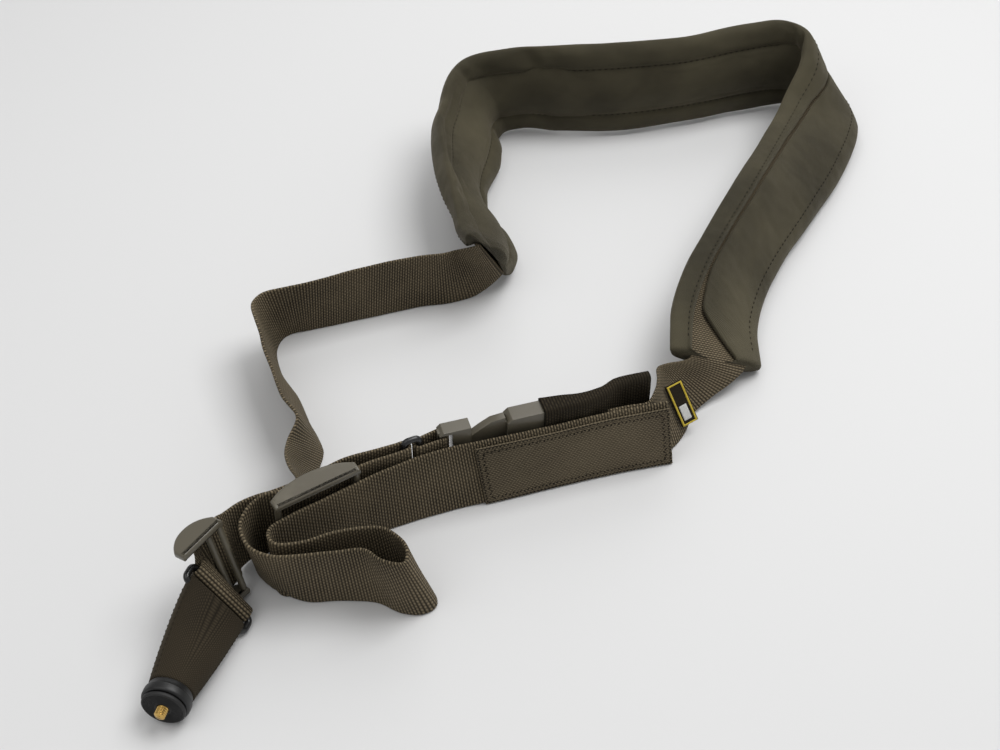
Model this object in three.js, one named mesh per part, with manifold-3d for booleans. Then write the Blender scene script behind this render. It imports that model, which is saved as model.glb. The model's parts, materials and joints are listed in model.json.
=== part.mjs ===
// Padded camera shoulder strap, laid down in an open loop and standing on its edges.
// Millimetres, +Z up, the floor at z = 0 and the origin under the middle of the loop.
import * as THREE from "three";
import { mergeVertices } from "three/addons/utils/BufferGeometryUtils.js";
import Module from "manifold-3d";

const wasm = await Module();
wasm.setup();

// Driving sizes of the loop as it lies
const LAY_X = 480; // left to right
const LAY_Y = 580; // front to back

// Driving sizes of the webbing and its hardware
const STRAP_WIDTH = 50;
const STRAP_THICK = 2;
const EASE = 0.4; // gap between a strap or fabric and what it touches
const SEAM_GAP = 0.5; // gap between two sewn layers
const MEET_GAP = 0.3; // gap between two solids of one strap
const BAR_WIDTH = 4; // bars of the strap adjusters
const RAIL_HEIGHT = 4.3; // side rails of the strap adjusters
const LONG_ADJUSTER_LENGTH = 54;
const SHORT_ADJUSTER_LENGTH = 31;
const RING_WIRE = 4;
const RING_CORNER = 3; // bend radius of the wire at the ring's corners
const RING_REACH = 9.6; // between the long bars of the buckle's ring

// Driving sizes of the shoulder pad
const PAD_WIDTH = 82;
const PAD_THICK = 16;
const PAD_WALL = 2; // fabric flaps of the sleeve
const SLEEVE_ROOM = 4.6; // depth of the passage that holds the webbing
const SLEEVE_SQUEEZE = 1; // how much narrower the webbing lies in that passage
const FOLD_RISE = 9; // how far the upper seam stands up where the pad is creased

// Driving sizes of the buckle and of the elastic keeper round its socket
const BUCKLE_HEIGHT = 56;
const BUCKLE_THICK = 11;
const BUCKLE_WALL = 2.5;
const SOCKET_LENGTH = 34;
const SOCKET_SHOWN = 23;
const SOCKET_END_THICK = 8;
const PLUG_BASE = 20;
const PLUG_NECK = 22;
const PLUG_BAR = 4;
const PLUG_WINDOW = 4.6; // room for the webbing behind the plug's bar
const KEEPER_LENGTH = 71;
const KEEPER_WALL = 1.3;

// Driving sizes of the labels
const PATCH_LENGTH = 129;
const PATCH_HEIGHT = 46;
const PATCH_THICK = 1;
const TAG_LENGTH = 13;
const TAG_HEIGHT = 36;
const TAG_THICK = 1.2;
const TAG_PLACE = 7; // sections between the tag and the label's seam
const TAG_SIDE = -2.8; // from the middle of the webbing to the middle of the tag

// Driving sizes of the camera connector
const CONNECTOR_WIDTH = 43;
const CONNECTOR_WALL = 1.8;
const LOOP_REACH = 9.4; // between the long bars of the connector's ring
const LOOP_WIDTH = 42; // the strap is bunched where it goes round that ring
const PUCK_RADIUS = 13.6;
const PUCK_HEIGHT = 9;
const SEAT_RADIUS = 12.3;
const SEAT_HEIGHT = 2.4;
const STUD_RADIUS = 3.175;
const STUD_LENGTH = 5.5;
const STUD_ROOT = 2;

const GROUP = new THREE.Group();
const UP = new THREE.Vector3(0, 0, 1);

// Where a strap lies: x and y are the place of its lower edge, as shares of LAY_X and
// LAY_Y. over_x and over_y say how far its upper edge hangs over, and lift how high its
// lower edge is, as shares of the strap's own width.
const THROUGH_LIFT = (RAIL_HEIGHT + EASE) / STRAP_WIDTH;

// The run from the front adjuster past the twist and the corner to the pad
const LEFT_RUN = [
  { x: -0.3167, y: -0.2810, over_x: -0.06, over_y: 0.03, lift: 0.05 },
  { x: -0.3062, y: -0.2655, over_x: -0.02, over_y: 0.02, lift: 0.02 },
  { x: -0.2885, y: -0.2526, over_x: 0.0, over_y: 0.0, lift: 0.0 },
  { x: -0.2667, y: -0.2414, over_x: -0.02, over_y: -0.05, lift: 0.0 },
  { x: -0.2448, y: -0.2267, over_x: 0.0, over_y: -0.08, lift: 0.0 },
  { x: -0.2365, y: -0.2103, over_x: -0.08, over_y: -0.18, lift: 0.0 },
  { x: -0.2354, y: -0.1845, over_x: -0.16, over_y: -0.36, lift: 0.0 },
  { x: -0.2375, y: -0.1517, over_x: -0.26, over_y: -0.44, lift: 0.0 },
  { x: -0.2333, y: -0.1207, over_x: -0.30, over_y: -0.50, lift: 0.0 },
  { x: -0.2438, y: -0.1000, over_x: -0.12, over_y: -0.44, lift: 0.0 },
  { x: -0.2583, y: -0.0759, over_x: -0.20, over_y: -0.38, lift: 0.0 },
  { x: -0.2771, y: -0.0379, over_x: -0.18, over_y: -0.40, lift: 0.0 },
  { x: -0.2917, y: -0.0207, over_x: -0.18, over_y: -0.26, lift: 0.0 },
  { x: -0.3042, y: -0.0034, over_x: -0.14, over_y: -0.18, lift: 0.0 },
  { x: -0.3125, y: 0.0172, over_x: -0.18, over_y: -0.08, lift: 0.0 },
  { x: -0.3167, y: 0.0414, over_x: -0.20, over_y: -0.12, lift: 0.0 },
  { x: -0.3104, y: 0.0603, over_x: -0.16, over_y: -0.16, lift: 0.0 },
  { x: -0.2958, y: 0.0707, over_x: -0.04, over_y: -0.18, lift: 0.0 },
  { x: -0.2688, y: 0.0776, over_x: 0.08, over_y: -0.14, lift: 0.0 },
  { x: -0.2208, y: 0.0897, over_x: 0.08, over_y: -0.08, lift: 0.0 },
  { x: -0.1583, y: 0.1069, over_x: 0.08, over_y: -0.06, lift: 0.0 },
  { x: -0.1188, y: 0.1172, over_x: 0.06, over_y: -0.08, lift: 0.0 },
  { x: -0.0750, y: 0.1241, over_x: -0.04, over_y: -0.10, lift: 0.0 },
  { x: -0.0354, y: 0.1362, over_x: -0.24, over_y: -0.16, lift: 0.02 },
];

// The run from the pad's right end to the seam behind the label
const RIGHT_RUN = [
  { x: 0.2640, y: -0.0600, over_x: -0.54, over_y: -0.02, lift: 0.02 },
  { x: 0.2480, y: -0.0890, over_x: -0.42, over_y: 0.08, lift: 0.0 },
  { x: 0.2313, y: -0.1103, over_x: -0.30, over_y: 0.10, lift: 0.0 },
];

// The label strap from its sewn end to the left, through the two loose folds, and on to
// the long adjuster
const FRONT_RUN = [
  { x: 0.2250, y: -0.1328, over_x: -0.12, over_y: 0.10, lift: 0.0 },
  { x: 0.1542, y: -0.1466, over_x: -0.16, over_y: 0.08, lift: 0.0 },
  { x: 0.0833, y: -0.1638, over_x: -0.16, over_y: 0.06, lift: 0.0 },
  { x: 0.0042, y: -0.1845, over_x: -0.16, over_y: 0.08, lift: 0.0 },
  { x: -0.0646, y: -0.2017, over_x: -0.10, over_y: 0.10, lift: 0.0 },
  { x: -0.1396, y: -0.2259, over_x: -0.04, over_y: 0.04, lift: 0.0 },
  { x: -0.2021, y: -0.2552, over_x: -0.02, over_y: 0.0, lift: 0.0 },
  { x: -0.2479, y: -0.2793, over_x: 0.0, over_y: 0.0, lift: 0.0 },
  { x: -0.2658, y: -0.2914, over_x: 0.0, over_y: 0.0, lift: 0.0 },
  { x: -0.2683, y: -0.3017, over_x: 0.0, over_y: 0.0, lift: 0.0 },
  { x: -0.2583, y: -0.3103, over_x: 0.0, over_y: -0.02, lift: 0.0 },
  { x: -0.2313, y: -0.3069, over_x: 0.02, over_y: -0.04, lift: 0.0 },
  { x: -0.1979, y: -0.2983, over_x: 0.0, over_y: -0.02, lift: 0.0 },
  { x: -0.1583, y: -0.2931, over_x: -0.06, over_y: 0.0, lift: 0.0 },
  { x: -0.1229, y: -0.2948, over_x: -0.12, over_y: 0.02, lift: 0.0 },
  { x: -0.0979, y: -0.3017, over_x: -0.20, over_y: 0.0, lift: 0.0 },
  { x: -0.0792, y: -0.3121, over_x: -0.28, over_y: -0.02, lift: 0.0 },
  { x: -0.0771, y: -0.3241, over_x: -0.30, over_y: -0.08, lift: 0.0 },
  { x: -0.0917, y: -0.3328, over_x: -0.24, over_y: -0.02, lift: 0.0 },
  { x: -0.1167, y: -0.3310, over_x: -0.20, over_y: 0.02, lift: 0.0 },
  { x: -0.1458, y: -0.3190, over_x: -0.10, over_y: 0.0, lift: 0.0 },
  { x: -0.1875, y: -0.3155, over_x: -0.04, over_y: -0.08, lift: 0.0 },
  { x: -0.2292, y: -0.3172, over_x: 0.0, over_y: -0.10, lift: 0.0 },
  { x: -0.2625, y: -0.3069, over_x: 0.02, over_y: -0.22, lift: 0.0 },
  { x: -0.2812, y: -0.2948, over_x: -0.08, over_y: -0.22, lift: 0.0 },
  { x: -0.2938, y: -0.2828, over_x: -0.09, over_y: -0.08, lift: 0.0 },
  { x: -0.2979, y: -0.2724, over_x: 0.0, over_y: 0.0, lift: 0.02 },
  { x: -0.2875, y: -0.2612, over_x: 0.0, over_y: 0.0, lift: 0.05 },
  { x: -0.2729, y: -0.2578, over_x: 0.0, over_y: 0.0, lift: 0.115 },
];

// The pad, from its rounded left end over the back to its right end. width and thick are
// shares of the pad's own; open_low and open_high are how far each flap of the sleeve
// stands back from the middle, as shares of the width, and are negative where a flap
// reaches past the middle; fold raises the strip along the
// upper seam, as a share of the thickness.
const PAD_RUN = [
  { x: 0.0146, y: 0.1414, over_x: -0.30, over_y: -0.40, lift: 0.10, width: 0.62, thick: 0.6,
    open_low: 0.36, open_high: 0.36, fold: 0.0 },
  { x: 0.0188, y: 0.1621, over_x: -0.38, over_y: -0.42, lift: 0.07, width: 0.93, thick: 0.8,
    open_low: 0.34, open_high: 0.34, fold: 0.0 },
  { x: 0.0229, y: 0.1948, over_x: -0.48, over_y: -0.44, lift: 0.04, width: 1.0, thick: 0.9,
    open_low: 0.24, open_high: 0.20, fold: 0.1 },
  { x: 0.0083, y: 0.2345, over_x: -0.46, over_y: -0.46, lift: 0.04, width: 0.96, thick: 0.9,
    open_low: 0.06, open_high: 0.06, fold: 0.4 },
  { x: -0.0125, y: 0.2672, over_x: -0.42, over_y: -0.44, lift: 0.04, width: 0.92, thick: 0.95,
    open_low: 0.02, open_high: 0.02, fold: 0.8 },
  { x: -0.0208, y: 0.3172, over_x: -0.46, over_y: -0.38, lift: 0.04, width: 0.92, thick: 1.0,
    open_low: 0.02, open_high: 0.02, fold: 1.0 },
  { x: -0.0021, y: 0.3793, over_x: -0.62, over_y: -0.24, lift: 0.04, width: 0.98, thick: 1.0,
    open_low: 0.02, open_high: 0.02, fold: 1.0 },
  { x: 0.0021, y: 0.4121, over_x: -0.60, over_y: -0.22, lift: 0.04, width: 0.96, thick: 0.95,
    open_low: 0.02, open_high: 0.02, fold: 0.8 },
  { x: -0.0042, y: 0.4483, over_x: -0.46, over_y: -0.14, lift: 0.03, width: 0.98, thick: 0.9,
    open_low: 0.02, open_high: 0.02, fold: 0.3 },
  { x: 0.0104, y: 0.4776, over_x: -0.38, over_y: -0.14, lift: 0.02, width: 1.0, thick: 0.9,
    open_low: 0.02, open_high: 0.02, fold: 0.0 },
  { x: 0.0458, y: 0.4879, over_x: -0.20, over_y: -0.14, lift: 0.02, width: 1.0, thick: 0.95,
    open_low: 0.02, open_high: 0.02, fold: 0.0 },
  { x: 0.1021, y: 0.4793, over_x: -0.06, over_y: -0.06, lift: 0.02, width: 1.0, thick: 1.0,
    open_low: 0.02, open_high: 0.02, fold: 0.0 },
  { x: 0.2021, y: 0.4810, over_x: -0.10, over_y: -0.02, lift: 0.02, width: 1.0, thick: 1.0,
    open_low: 0.02, open_high: 0.02, fold: 0.0 },
  { x: 0.3167, y: 0.5052, over_x: -0.10, over_y: -0.08, lift: 0.02, width: 1.0, thick: 1.0,
    open_low: 0.02, open_high: 0.02, fold: 0.0 },
  { x: 0.4062, y: 0.5293, over_x: -0.04, over_y: -0.04, lift: 0.02, width: 1.0, thick: 1.0,
    open_low: 0.02, open_high: 0.02, fold: 0.0 },
  { x: 0.4875, y: 0.5466, over_x: -0.14, over_y: -0.08, lift: 0.02, width: 1.0, thick: 0.95,
    open_low: 0.02, open_high: 0.02, fold: 0.0 },
  { x: 0.5458, y: 0.5448, over_x: -0.30, over_y: -0.16, lift: 0.02, width: 1.0, thick: 0.9,
    open_low: 0.02, open_high: 0.02, fold: 0.0 },
  { x: 0.5896, y: 0.5138, over_x: -0.58, over_y: -0.20, lift: 0.03, width: 1.0, thick: 0.95,
    open_low: -0.08, open_high: 0.12, fold: 0.0 },
  { x: 0.5979, y: 0.4690, over_x: -0.82, over_y: -0.20, lift: 0.04, width: 1.0, thick: 1.0,
    open_low: -0.20, open_high: 0.24, fold: 0.0 },
  { x: 0.5521, y: 0.3690, over_x: -0.84, over_y: -0.12, lift: 0.04, width: 1.0, thick: 1.0,
    open_low: -0.26, open_high: 0.30, fold: 0.0 },
  { x: 0.4896, y: 0.2793, over_x: -0.78, over_y: -0.16, lift: 0.04, width: 1.0, thick: 1.0,
    open_low: -0.28, open_high: 0.32, fold: 0.0 },
  { x: 0.4292, y: 0.1966, over_x: -0.77, over_y: -0.26, lift: 0.04, width: 1.0, thick: 1.0,
    open_low: -0.28, open_high: 0.32, fold: 0.0 },
  { x: 0.3875, y: 0.1241, over_x: -0.76, over_y: -0.28, lift: 0.04, width: 1.0, thick: 0.95,
    open_low: -0.28, open_high: 0.32, fold: 0.0 },
  { x: 0.3667, y: 0.0638, over_x: -0.78, over_y: -0.29, lift: 0.04, width: 1.0, thick: 0.9,
    open_low: -0.22, open_high: 0.32, fold: 0.0 },
  { x: 0.3625, y: -0.0034, over_x: -0.81, over_y: -0.30, lift: 0.04, width: 1.0, thick: 0.75,
    open_low: 0.20, open_high: 0.34, fold: 0.0 },
];

// Half of the pad's outline across: across is a share of the width from the middle, out a
// share of the thickness towards the wearer
const PAD_FACE = [
  { across: 0.0, out: 0.50 },
  { across: 0.14, out: 0.49 },
  { across: 0.26, out: 0.42 },
  { across: 0.38, out: 0.44 },
  { across: 0.46, out: 0.28 },
  { across: 0.50, out: 0.0 },
  { across: 0.46, out: -0.30 },
  { across: 0.38, out: -0.46 },
];

// Where the two adjusters stand: x and y as shares of the lay, heading in degrees
const LONG_ADJUSTER = { x: -0.2219, y: -0.2466, heading: 33, over_x: 0.05, over_y: -0.08,
  bulge: 8.4, length: LONG_ADJUSTER_LENGTH };
const SHORT_ADJUSTER = { x: -0.3367, y: -0.3212, heading: 236, over_x: -0.16, over_y: 0.1,
  bulge: -10, length: SHORT_ADJUSTER_LENGTH };
const BUCKLE_RING = { x: -0.1167, y: -0.1957, heading: 27, turn: -2 };
const BUCKLE_PLACE = { x: 0.0063, y: -0.1569, heading: 17 };
const CONNECTOR = { x: -0.325, y: -0.3328, over_x: -0.60, over_y: 0.23, run_x: -0.22, run_y: -0.97 };
const PUCK_PLACE = { x: -0.3656, y: -0.4345, axis_x: -0.2, axis_y: -0.98, pitch: 5 };
const STEPS = 3; // sections between two rows of a table
const PAD_STEPS = 4;
const ARC_STEPS = 8;

function vec(x, y, z) {
  return new THREE.Vector3(x, y, z);
}

// Lower and upper edge of a strap at one row of a table
function edgesOf(row, width) {
  const foot = (STRAP_THICK / 2) * Math.hypot(row.over_x, row.over_y);
  const low = vec(row.x * LAY_X, row.y * LAY_Y, row.lift * width + foot);
  const rise = Math.sqrt(1 - row.over_x ** 2 - row.over_y ** 2);
  const high = low.clone().add(vec(row.over_x, row.over_y, rise).multiplyScalar(width));
  return { low, high };
}

// A smooth pair of edges through the given ones
function smooth(edges, steps = STEPS) {
  const low = new THREE.CatmullRomCurve3(edges.map((edge) => edge.low));
  const high = new THREE.CatmullRomCurve3(edges.map((edge) => edge.high));
  const count = (edges.length - 1) * steps;
  return Array.from({ length: count + 1 }, (_, i) => ({
    low: low.getPoint(i / count),
    high: high.getPoint(i / count),
  }));
}

// Direction along the strap, across it and out of its face, at station i
function axesAt(edges, i) {
  const before = edges[Math.max(i - 1, 0)];
  const after = edges[Math.min(i + 1, edges.length - 1)];
  const along = after.low.clone().add(after.high).sub(before.low).sub(before.high).normalize();
  const across = edges[i].high.clone().sub(edges[i].low).normalize();
  const out = along.clone().cross(across).normalize();
  return { along, across, out };
}

// Closed solid through rings of points; closed in itself where wrap is set
function loft(rings, wrap = false) {
  const sides = rings[0].length;
  const positions = rings.flat().flatMap((point) => point.toArray());
  const faces = [];
  const spans = wrap ? rings.length : rings.length - 1;
  for (let i = 0; i < spans; i += 1) {
    const next = (i + 1) % rings.length;
    for (let j = 0; j < sides; j += 1) {
      const k = (j + 1) % sides;
      faces.push(i * sides + j, i * sides + k, next * sides + k);
      faces.push(i * sides + j, next * sides + k, next * sides + j);
    }
  }
  if (!wrap) {
    capFaces(rings[0], 0, faces, true);
    capFaces(rings[rings.length - 1], (rings.length - 1) * sides, faces, false);
  }
  const geometry = new THREE.BufferGeometry();
  geometry.setAttribute("position", new THREE.Float32BufferAttribute(positions, 3));
  geometry.setIndex(faces);
  return facingOut(geometry);
}

// Triangles that close the ring of one end
function capFaces(ring, first, faces, reverse) {
  const origin = ring[0];
  const across = ring[Math.floor(ring.length / 2)].clone().sub(origin).normalize();
  const normal = vec(0, 0, 0);
  ring.forEach((point, i) => {
    const next = ring[(i + 1) % ring.length];
    normal.add(point.clone().sub(origin).cross(next.clone().sub(origin)));
  });
  const other = normal.normalize().clone().cross(across).normalize();
  const flat = ring.map((point) => {
    const offset = point.clone().sub(origin);
    return new THREE.Vector2(offset.dot(across), offset.dot(other));
  });
  THREE.ShapeUtils.triangulateShape(flat, []).forEach(([a, b, c]) => {
    faces.push(first + a, first + (reverse ? c : b), first + (reverse ? b : c));
  });
}

// The same solid with its faces pointing out
function facingOut(geometry) {
  const index = geometry.getIndex().array;
  const at = geometry.getAttribute("position");
  const corners = [vec(0, 0, 0), vec(0, 0, 0), vec(0, 0, 0)];
  let volume = 0;
  for (let i = 0; i < index.length; i += 3) {
    corners.forEach((corner, j) => corner.fromBufferAttribute(at, index[i + j]));
    volume += corners[0].dot(corners[1].clone().cross(corners[2]));
  }
  if (volume < 0) {
    const turned = [];
    for (let i = 0; i < index.length; i += 3) turned.push(index[i], index[i + 2], index[i + 1]);
    geometry.setIndex(turned);
  }
  return geometry;
}

// A flat strap of the given thickness along a pair of edges, or a band along part of its
// width: from and to are shares of the width, offset is measured out of its face
function strapAlong(edges, thickness, { from = 0, to = 1, offset = 0, wrap = false } = {}) {
  const rings = edges.map((edge, i) => {
    const { out } = wrap ? axesRound(edges, i) : axesAt(edges, i);
    const low = edge.low.clone().lerp(edge.high, from);
    const high = edge.low.clone().lerp(edge.high, to);
    const near = out.clone().multiplyScalar(offset - thickness / 2);
    const far = out.clone().multiplyScalar(offset + thickness / 2);
    return [low.clone().add(near), high.clone().add(near), high.clone().add(far),
      low.clone().add(far)];
  });
  return loft(rings, wrap);
}

// A strap as several solids end to end, cut at the given stations, so that each one keeps
// to its own bends; they meet with a small gap
function addParts(names, edges, cuts) {
  const ends = [0, ...cuts, edges.length - 1];
  names.forEach((name, i) => {
    const part = edges.slice(ends[i], ends[i + 1] + 1);
    if (i > 0) {
      const share = MEET_GAP / part[0].low.clone().add(part[0].high)
        .distanceTo(part[1].low.clone().add(part[1].high)) * 2;
      part[0] = { low: part[0].low.clone().lerp(part[1].low, share),
        high: part[0].high.clone().lerp(part[1].high, share) };
    }
    add(name, strapAlong(part, STRAP_THICK), WEBBING);
  });
}

// As axesAt, for edges that close in themselves
function axesRound(edges, i) {
  const count = edges.length;
  const around = [edges[(i + count - 1) % count], edges[i], edges[(i + 1) % count]];
  return axesAt(around, 1);
}

// Boolean work
function toSolid(geometry) {
  const bare = geometry.clone();
  bare.deleteAttribute("normal");
  bare.deleteAttribute("uv");
  const merged = mergeVertices(bare, 1e-4);
  return new wasm.Manifold(new wasm.Mesh({
    numProp: 3,
    vertProperties: new Float32Array(merged.getAttribute("position").array),
    triVerts: new Uint32Array(merged.getIndex().array),
  }));
}

function toGeometry(solid) {
  const mesh = solid.getMesh();
  const geometry = new THREE.BufferGeometry();
  geometry.setAttribute("position", new THREE.BufferAttribute(mesh.vertProperties, 3));
  geometry.setIndex(new THREE.BufferAttribute(mesh.triVerts, 1));
  return geometry;
}

// A frame for hardware: along the strap, out of its face, and up along its width
function frameAt(origin, heading, lean = vec(0, 0, 1)) {
  const up = lean.clone().normalize();
  const angle = THREE.MathUtils.degToRad(heading);
  const flat = vec(Math.cos(angle), Math.sin(angle), 0);
  const along = flat.addScaledVector(up, -flat.dot(up)).normalize();
  const out = up.clone().cross(along).normalize();
  return { origin, along, out, up };
}

function pointIn(frame, along, out, up) {
  return frame.origin.clone()
    .addScaledVector(frame.along, along)
    .addScaledVector(frame.out, out)
    .addScaledVector(frame.up, up);
}

function placeIn(frame, geometry) {
  const matrix = new THREE.Matrix4().makeBasis(frame.along, frame.out, frame.up);
  matrix.setPosition(frame.origin);
  return geometry.applyMatrix4(matrix);
}

// The strap's edges at a place in a hardware frame, whose origin is half way up the strap
function edgesIn(frame, along, out, width = STRAP_WIDTH) {
  return {
    low: pointIn(frame, along, out, -width / 2),
    high: pointIn(frame, along, out, width / 2),
  };
}

// The strap's edges round a bar, from one angle to another, in degrees from along to out
function edgesRound(frame, bar, radius, from, to, width = STRAP_WIDTH, steps = ARC_STEPS) {
  return Array.from({ length: steps + 1 }, (_, i) => {
    const angle = THREE.MathUtils.degToRad(from + ((to - from) * i) / steps);
    return edgesIn(frame, bar.along + radius * Math.cos(angle),
      bar.out + radius * Math.sin(angle), width);
  });
}

function add(name, geometry, material) {
  const bare = geometry.index ? geometry : mergeVertices(geometry);
  bare.computeVertexNormals();
  const mesh = new THREE.Mesh(bare, material);
  mesh.name = name;
  GROUP.add(mesh);
  return mesh;
}

function finish(color, roughness, metalness = 0) {
  return new THREE.MeshStandardMaterial({ color, roughness, metalness });
}

const WEBBING = finish(0x3a3528, 0.92);
const PAD_FABRIC = finish(0x3b382b, 0.95);
const ELASTIC = finish(0x2b231b, 0.95);
const PATCH = finish(0x4a4334, 0.9);
const TAG = finish(0x2a2418, 0.8);
const PLASTIC = finish(0x4c4a3f, 0.45);
const BLACK_METAL = finish(0x111112, 0.3, 0.6);
const CONNECTOR_FABRIC = finish(0x2f2720, 0.95);
const PUCK_BODY = finish(0x0b0b0c, 0.2);
const SEAT_RUBBER = finish(0x141415, 0.7);
const BRASS = finish(0xb8862f, 0.3, 1);

// Strap adjusters: a rail above and below the strap, three bars between them
const WINDOW = STRAP_WIDTH + 2 * EASE;
const HALF_STRAP = STRAP_THICK / 2;
const BAR_CLEAR = BAR_WIDTH / 2 + EASE + HALF_STRAP; // strap's middle to a bar's middle
const RAIL_LIP = 0.4;

function adjusterFrame(place) {
  const lean = vec(place.over_x, place.over_y, 0);
  lean.z = Math.sqrt(1 - lean.lengthSq());
  const reach = Math.hypot(place.over_x, place.over_y) * Math.abs(place.bulge);
  const middle = (WINDOW / 2 + RAIL_HEIGHT) * lean.z + reach;
  return frameAt(vec(place.x * LAY_X, place.y * LAY_Y, middle), place.heading, lean);
}

function railOutline({ bulge, length }) {
  const half = length / 2;
  const side = Math.sign(bulge);
  const flat = -side * (BAR_CLEAR + BAR_WIDTH / 2 + RAIL_LIP);
  const shape = new THREE.Shape();
  shape.moveTo(-half, flat);
  shape.lineTo(half, flat);
  shape.lineTo(half, side * HALF_STRAP);
  shape.quadraticCurveTo(half * 0.62, bulge, 0, bulge);
  shape.quadraticCurveTo(-half * 0.62, bulge, -half, side * HALF_STRAP);
  return shape;
}

// Bars across an adjuster: one at each end before the strap, one behind it in the middle
function barsOf(place, middle) {
  const end = place.length / 2 - BAR_WIDTH / 2;
  const front = -Math.sign(place.bulge) * BAR_CLEAR;
  return [{ along: -end, out: front }, { along: 0, out: middle }, { along: end, out: front }];
}

function adjuster(frame, place, bars) {
  const rail = () => new THREE.ExtrudeGeometry(railOutline(place), {
    depth: RAIL_HEIGHT, bevelEnabled: false, curveSegments: 5 });
  let solid = toSolid(rail().translate(0, 0, WINDOW / 2));
  solid = solid.add(toSolid(rail().translate(0, 0, -WINDOW / 2 - RAIL_HEIGHT)));
  bars.forEach((bar) => {
    const post = new THREE.CylinderGeometry(BAR_WIDTH / 2, BAR_WIDTH / 2,
      WINDOW + RAIL_HEIGHT, 10);
    post.rotateX(Math.PI / 2).translate(bar.along, bar.out, 0);
    solid = solid.add(toSolid(post));
  });
  return placeIn(frame, toGeometry(solid));
}

// A closed ring of round wire in a frame: two long bars along up, joined by rounded ends
function wireRing(frame, first, second, height) {
  const reach = Math.hypot(second.along - first.along, second.out - first.out);
  const bend = Math.min(RING_CORNER, reach / 2);
  const half = height / 2 + RING_WIRE / 2;
  const corners = [
    { across: reach - bend, up: half - bend, start: 0 },
    { across: bend, up: half - bend, start: 90 },
    { across: bend, up: -half + bend, start: 180 },
    { across: reach - bend, up: -half + bend, start: 270 },
  ];
  const side = { along: (second.along - first.along) / reach,
    out: (second.out - first.out) / reach };
  const across = frame.along.clone().multiplyScalar(side.along)
    .addScaledVector(frame.out, side.out);
  const start = pointIn(frame, first.along, first.out, 0);
  const middle = [];
  corners.forEach((corner) => {
    for (let i = 0; i <= 3; i += 1) {
      const angle = THREE.MathUtils.degToRad(corner.start + 30 * i);
      middle.push({
        at: start.clone()
          .addScaledVector(across, corner.across + bend * Math.cos(angle))
          .addScaledVector(frame.up, corner.up + bend * Math.sin(angle)),
        out: across.clone().multiplyScalar(Math.cos(angle))
          .addScaledVector(frame.up, Math.sin(angle)),
      });
    }
  });
  const axis = across.clone().cross(frame.up).normalize();
  const rings = middle.map(({ at, out }) => circle(at, out, axis, RING_WIRE / 2, 8));
  return loft(rings, true);
}

function circle(at, first, second, radius, sides) {
  return Array.from({ length: sides }, (_, i) => {
    const angle = (2 * Math.PI * i) / sides;
    return at.clone().addScaledVector(first, radius * Math.cos(angle))
      .addScaledVector(second, radius * Math.sin(angle));
  });
}

// Long adjuster, with the ring that its strap runs round
const RING_CLEAR = RING_WIRE / 2 + EASE + HALF_STRAP; // strap's middle to the wire's middle
const LAYER_STEP = STRAP_THICK + SEAM_GAP;
const longFrame = adjusterFrame(LONG_ADJUSTER);
const longBars = barsOf(LONG_ADJUSTER, LAYER_STEP + BAR_CLEAR);
const ringOrigin = vec(BUCKLE_RING.x * LAY_X, BUCKLE_RING.y * LAY_Y, longFrame.origin.z);
const ringFrame = frameAt(ringOrigin, BUCKLE_RING.heading);
const ringTurn = THREE.MathUtils.degToRad(BUCKLE_RING.turn);
const ringNear = { along: 0, out: 0 };
const ringFar = { along: RING_REACH * Math.cos(ringTurn), out: RING_REACH * Math.sin(ringTurn) };
add("long_adjuster", adjuster(longFrame, LONG_ADJUSTER, longBars), PLASTIC);
add("buckle_ring", wireRing(ringFrame, ringNear, ringFar, WINDOW), BLACK_METAL);

// Front strap, from its sewn end behind the label patch to the bar of the long adjuster
const frontRows = FRONT_RUN.map((row) => edgesOf(row, STRAP_WIDTH));
const THREAD = LONG_ADJUSTER_LENGTH / 2 + 4;
const SEWN_TAIL = 14;
const frontFree = smooth([...frontRows, edgesIn(longFrame, -12, 4.5),
  edgesIn(longFrame, -5, 0.8), edgesIn(longFrame, 2, 0), edgesIn(longFrame, THREAD, 0),
  edgesIn(ringFrame, -4, -RING_CLEAR), edgesIn(ringFrame, 0, -RING_CLEAR)]);
const wrapOut = LAYER_STEP + 2 * BAR_CLEAR;
const frontEdges = [
  ...frontFree,
  ...edgesRound(ringFrame, ringNear, RING_CLEAR, -90, 90).slice(1),
  ...smooth([edgesIn(ringFrame, 0, RING_CLEAR), edgesIn(ringFrame, -4, RING_CLEAR),
    edgesIn(longFrame, 24, wrapOut), edgesIn(longFrame, 12, wrapOut),
    edgesIn(longFrame, 0, wrapOut)]).slice(1, -1),
  ...edgesRound(longFrame, longBars[1], BAR_CLEAR, 90, 270),
  edgesIn(longFrame, SEWN_TAIL, LAYER_STEP),
];
addParts(["front_webbing", "front_webbing_folds"], frontEdges, [7 * STEPS]);

// Short adjuster, and the fold of the strap round the connector's ring
const shortFrame = adjusterFrame(SHORT_ADJUSTER);
const shortBars = barsOf(SHORT_ADJUSTER, 0).slice(0, 2);
shortBars[1].along = -7;
add("short_adjuster", adjuster(shortFrame, SHORT_ADJUSTER, shortBars), PLASTIC);

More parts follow.
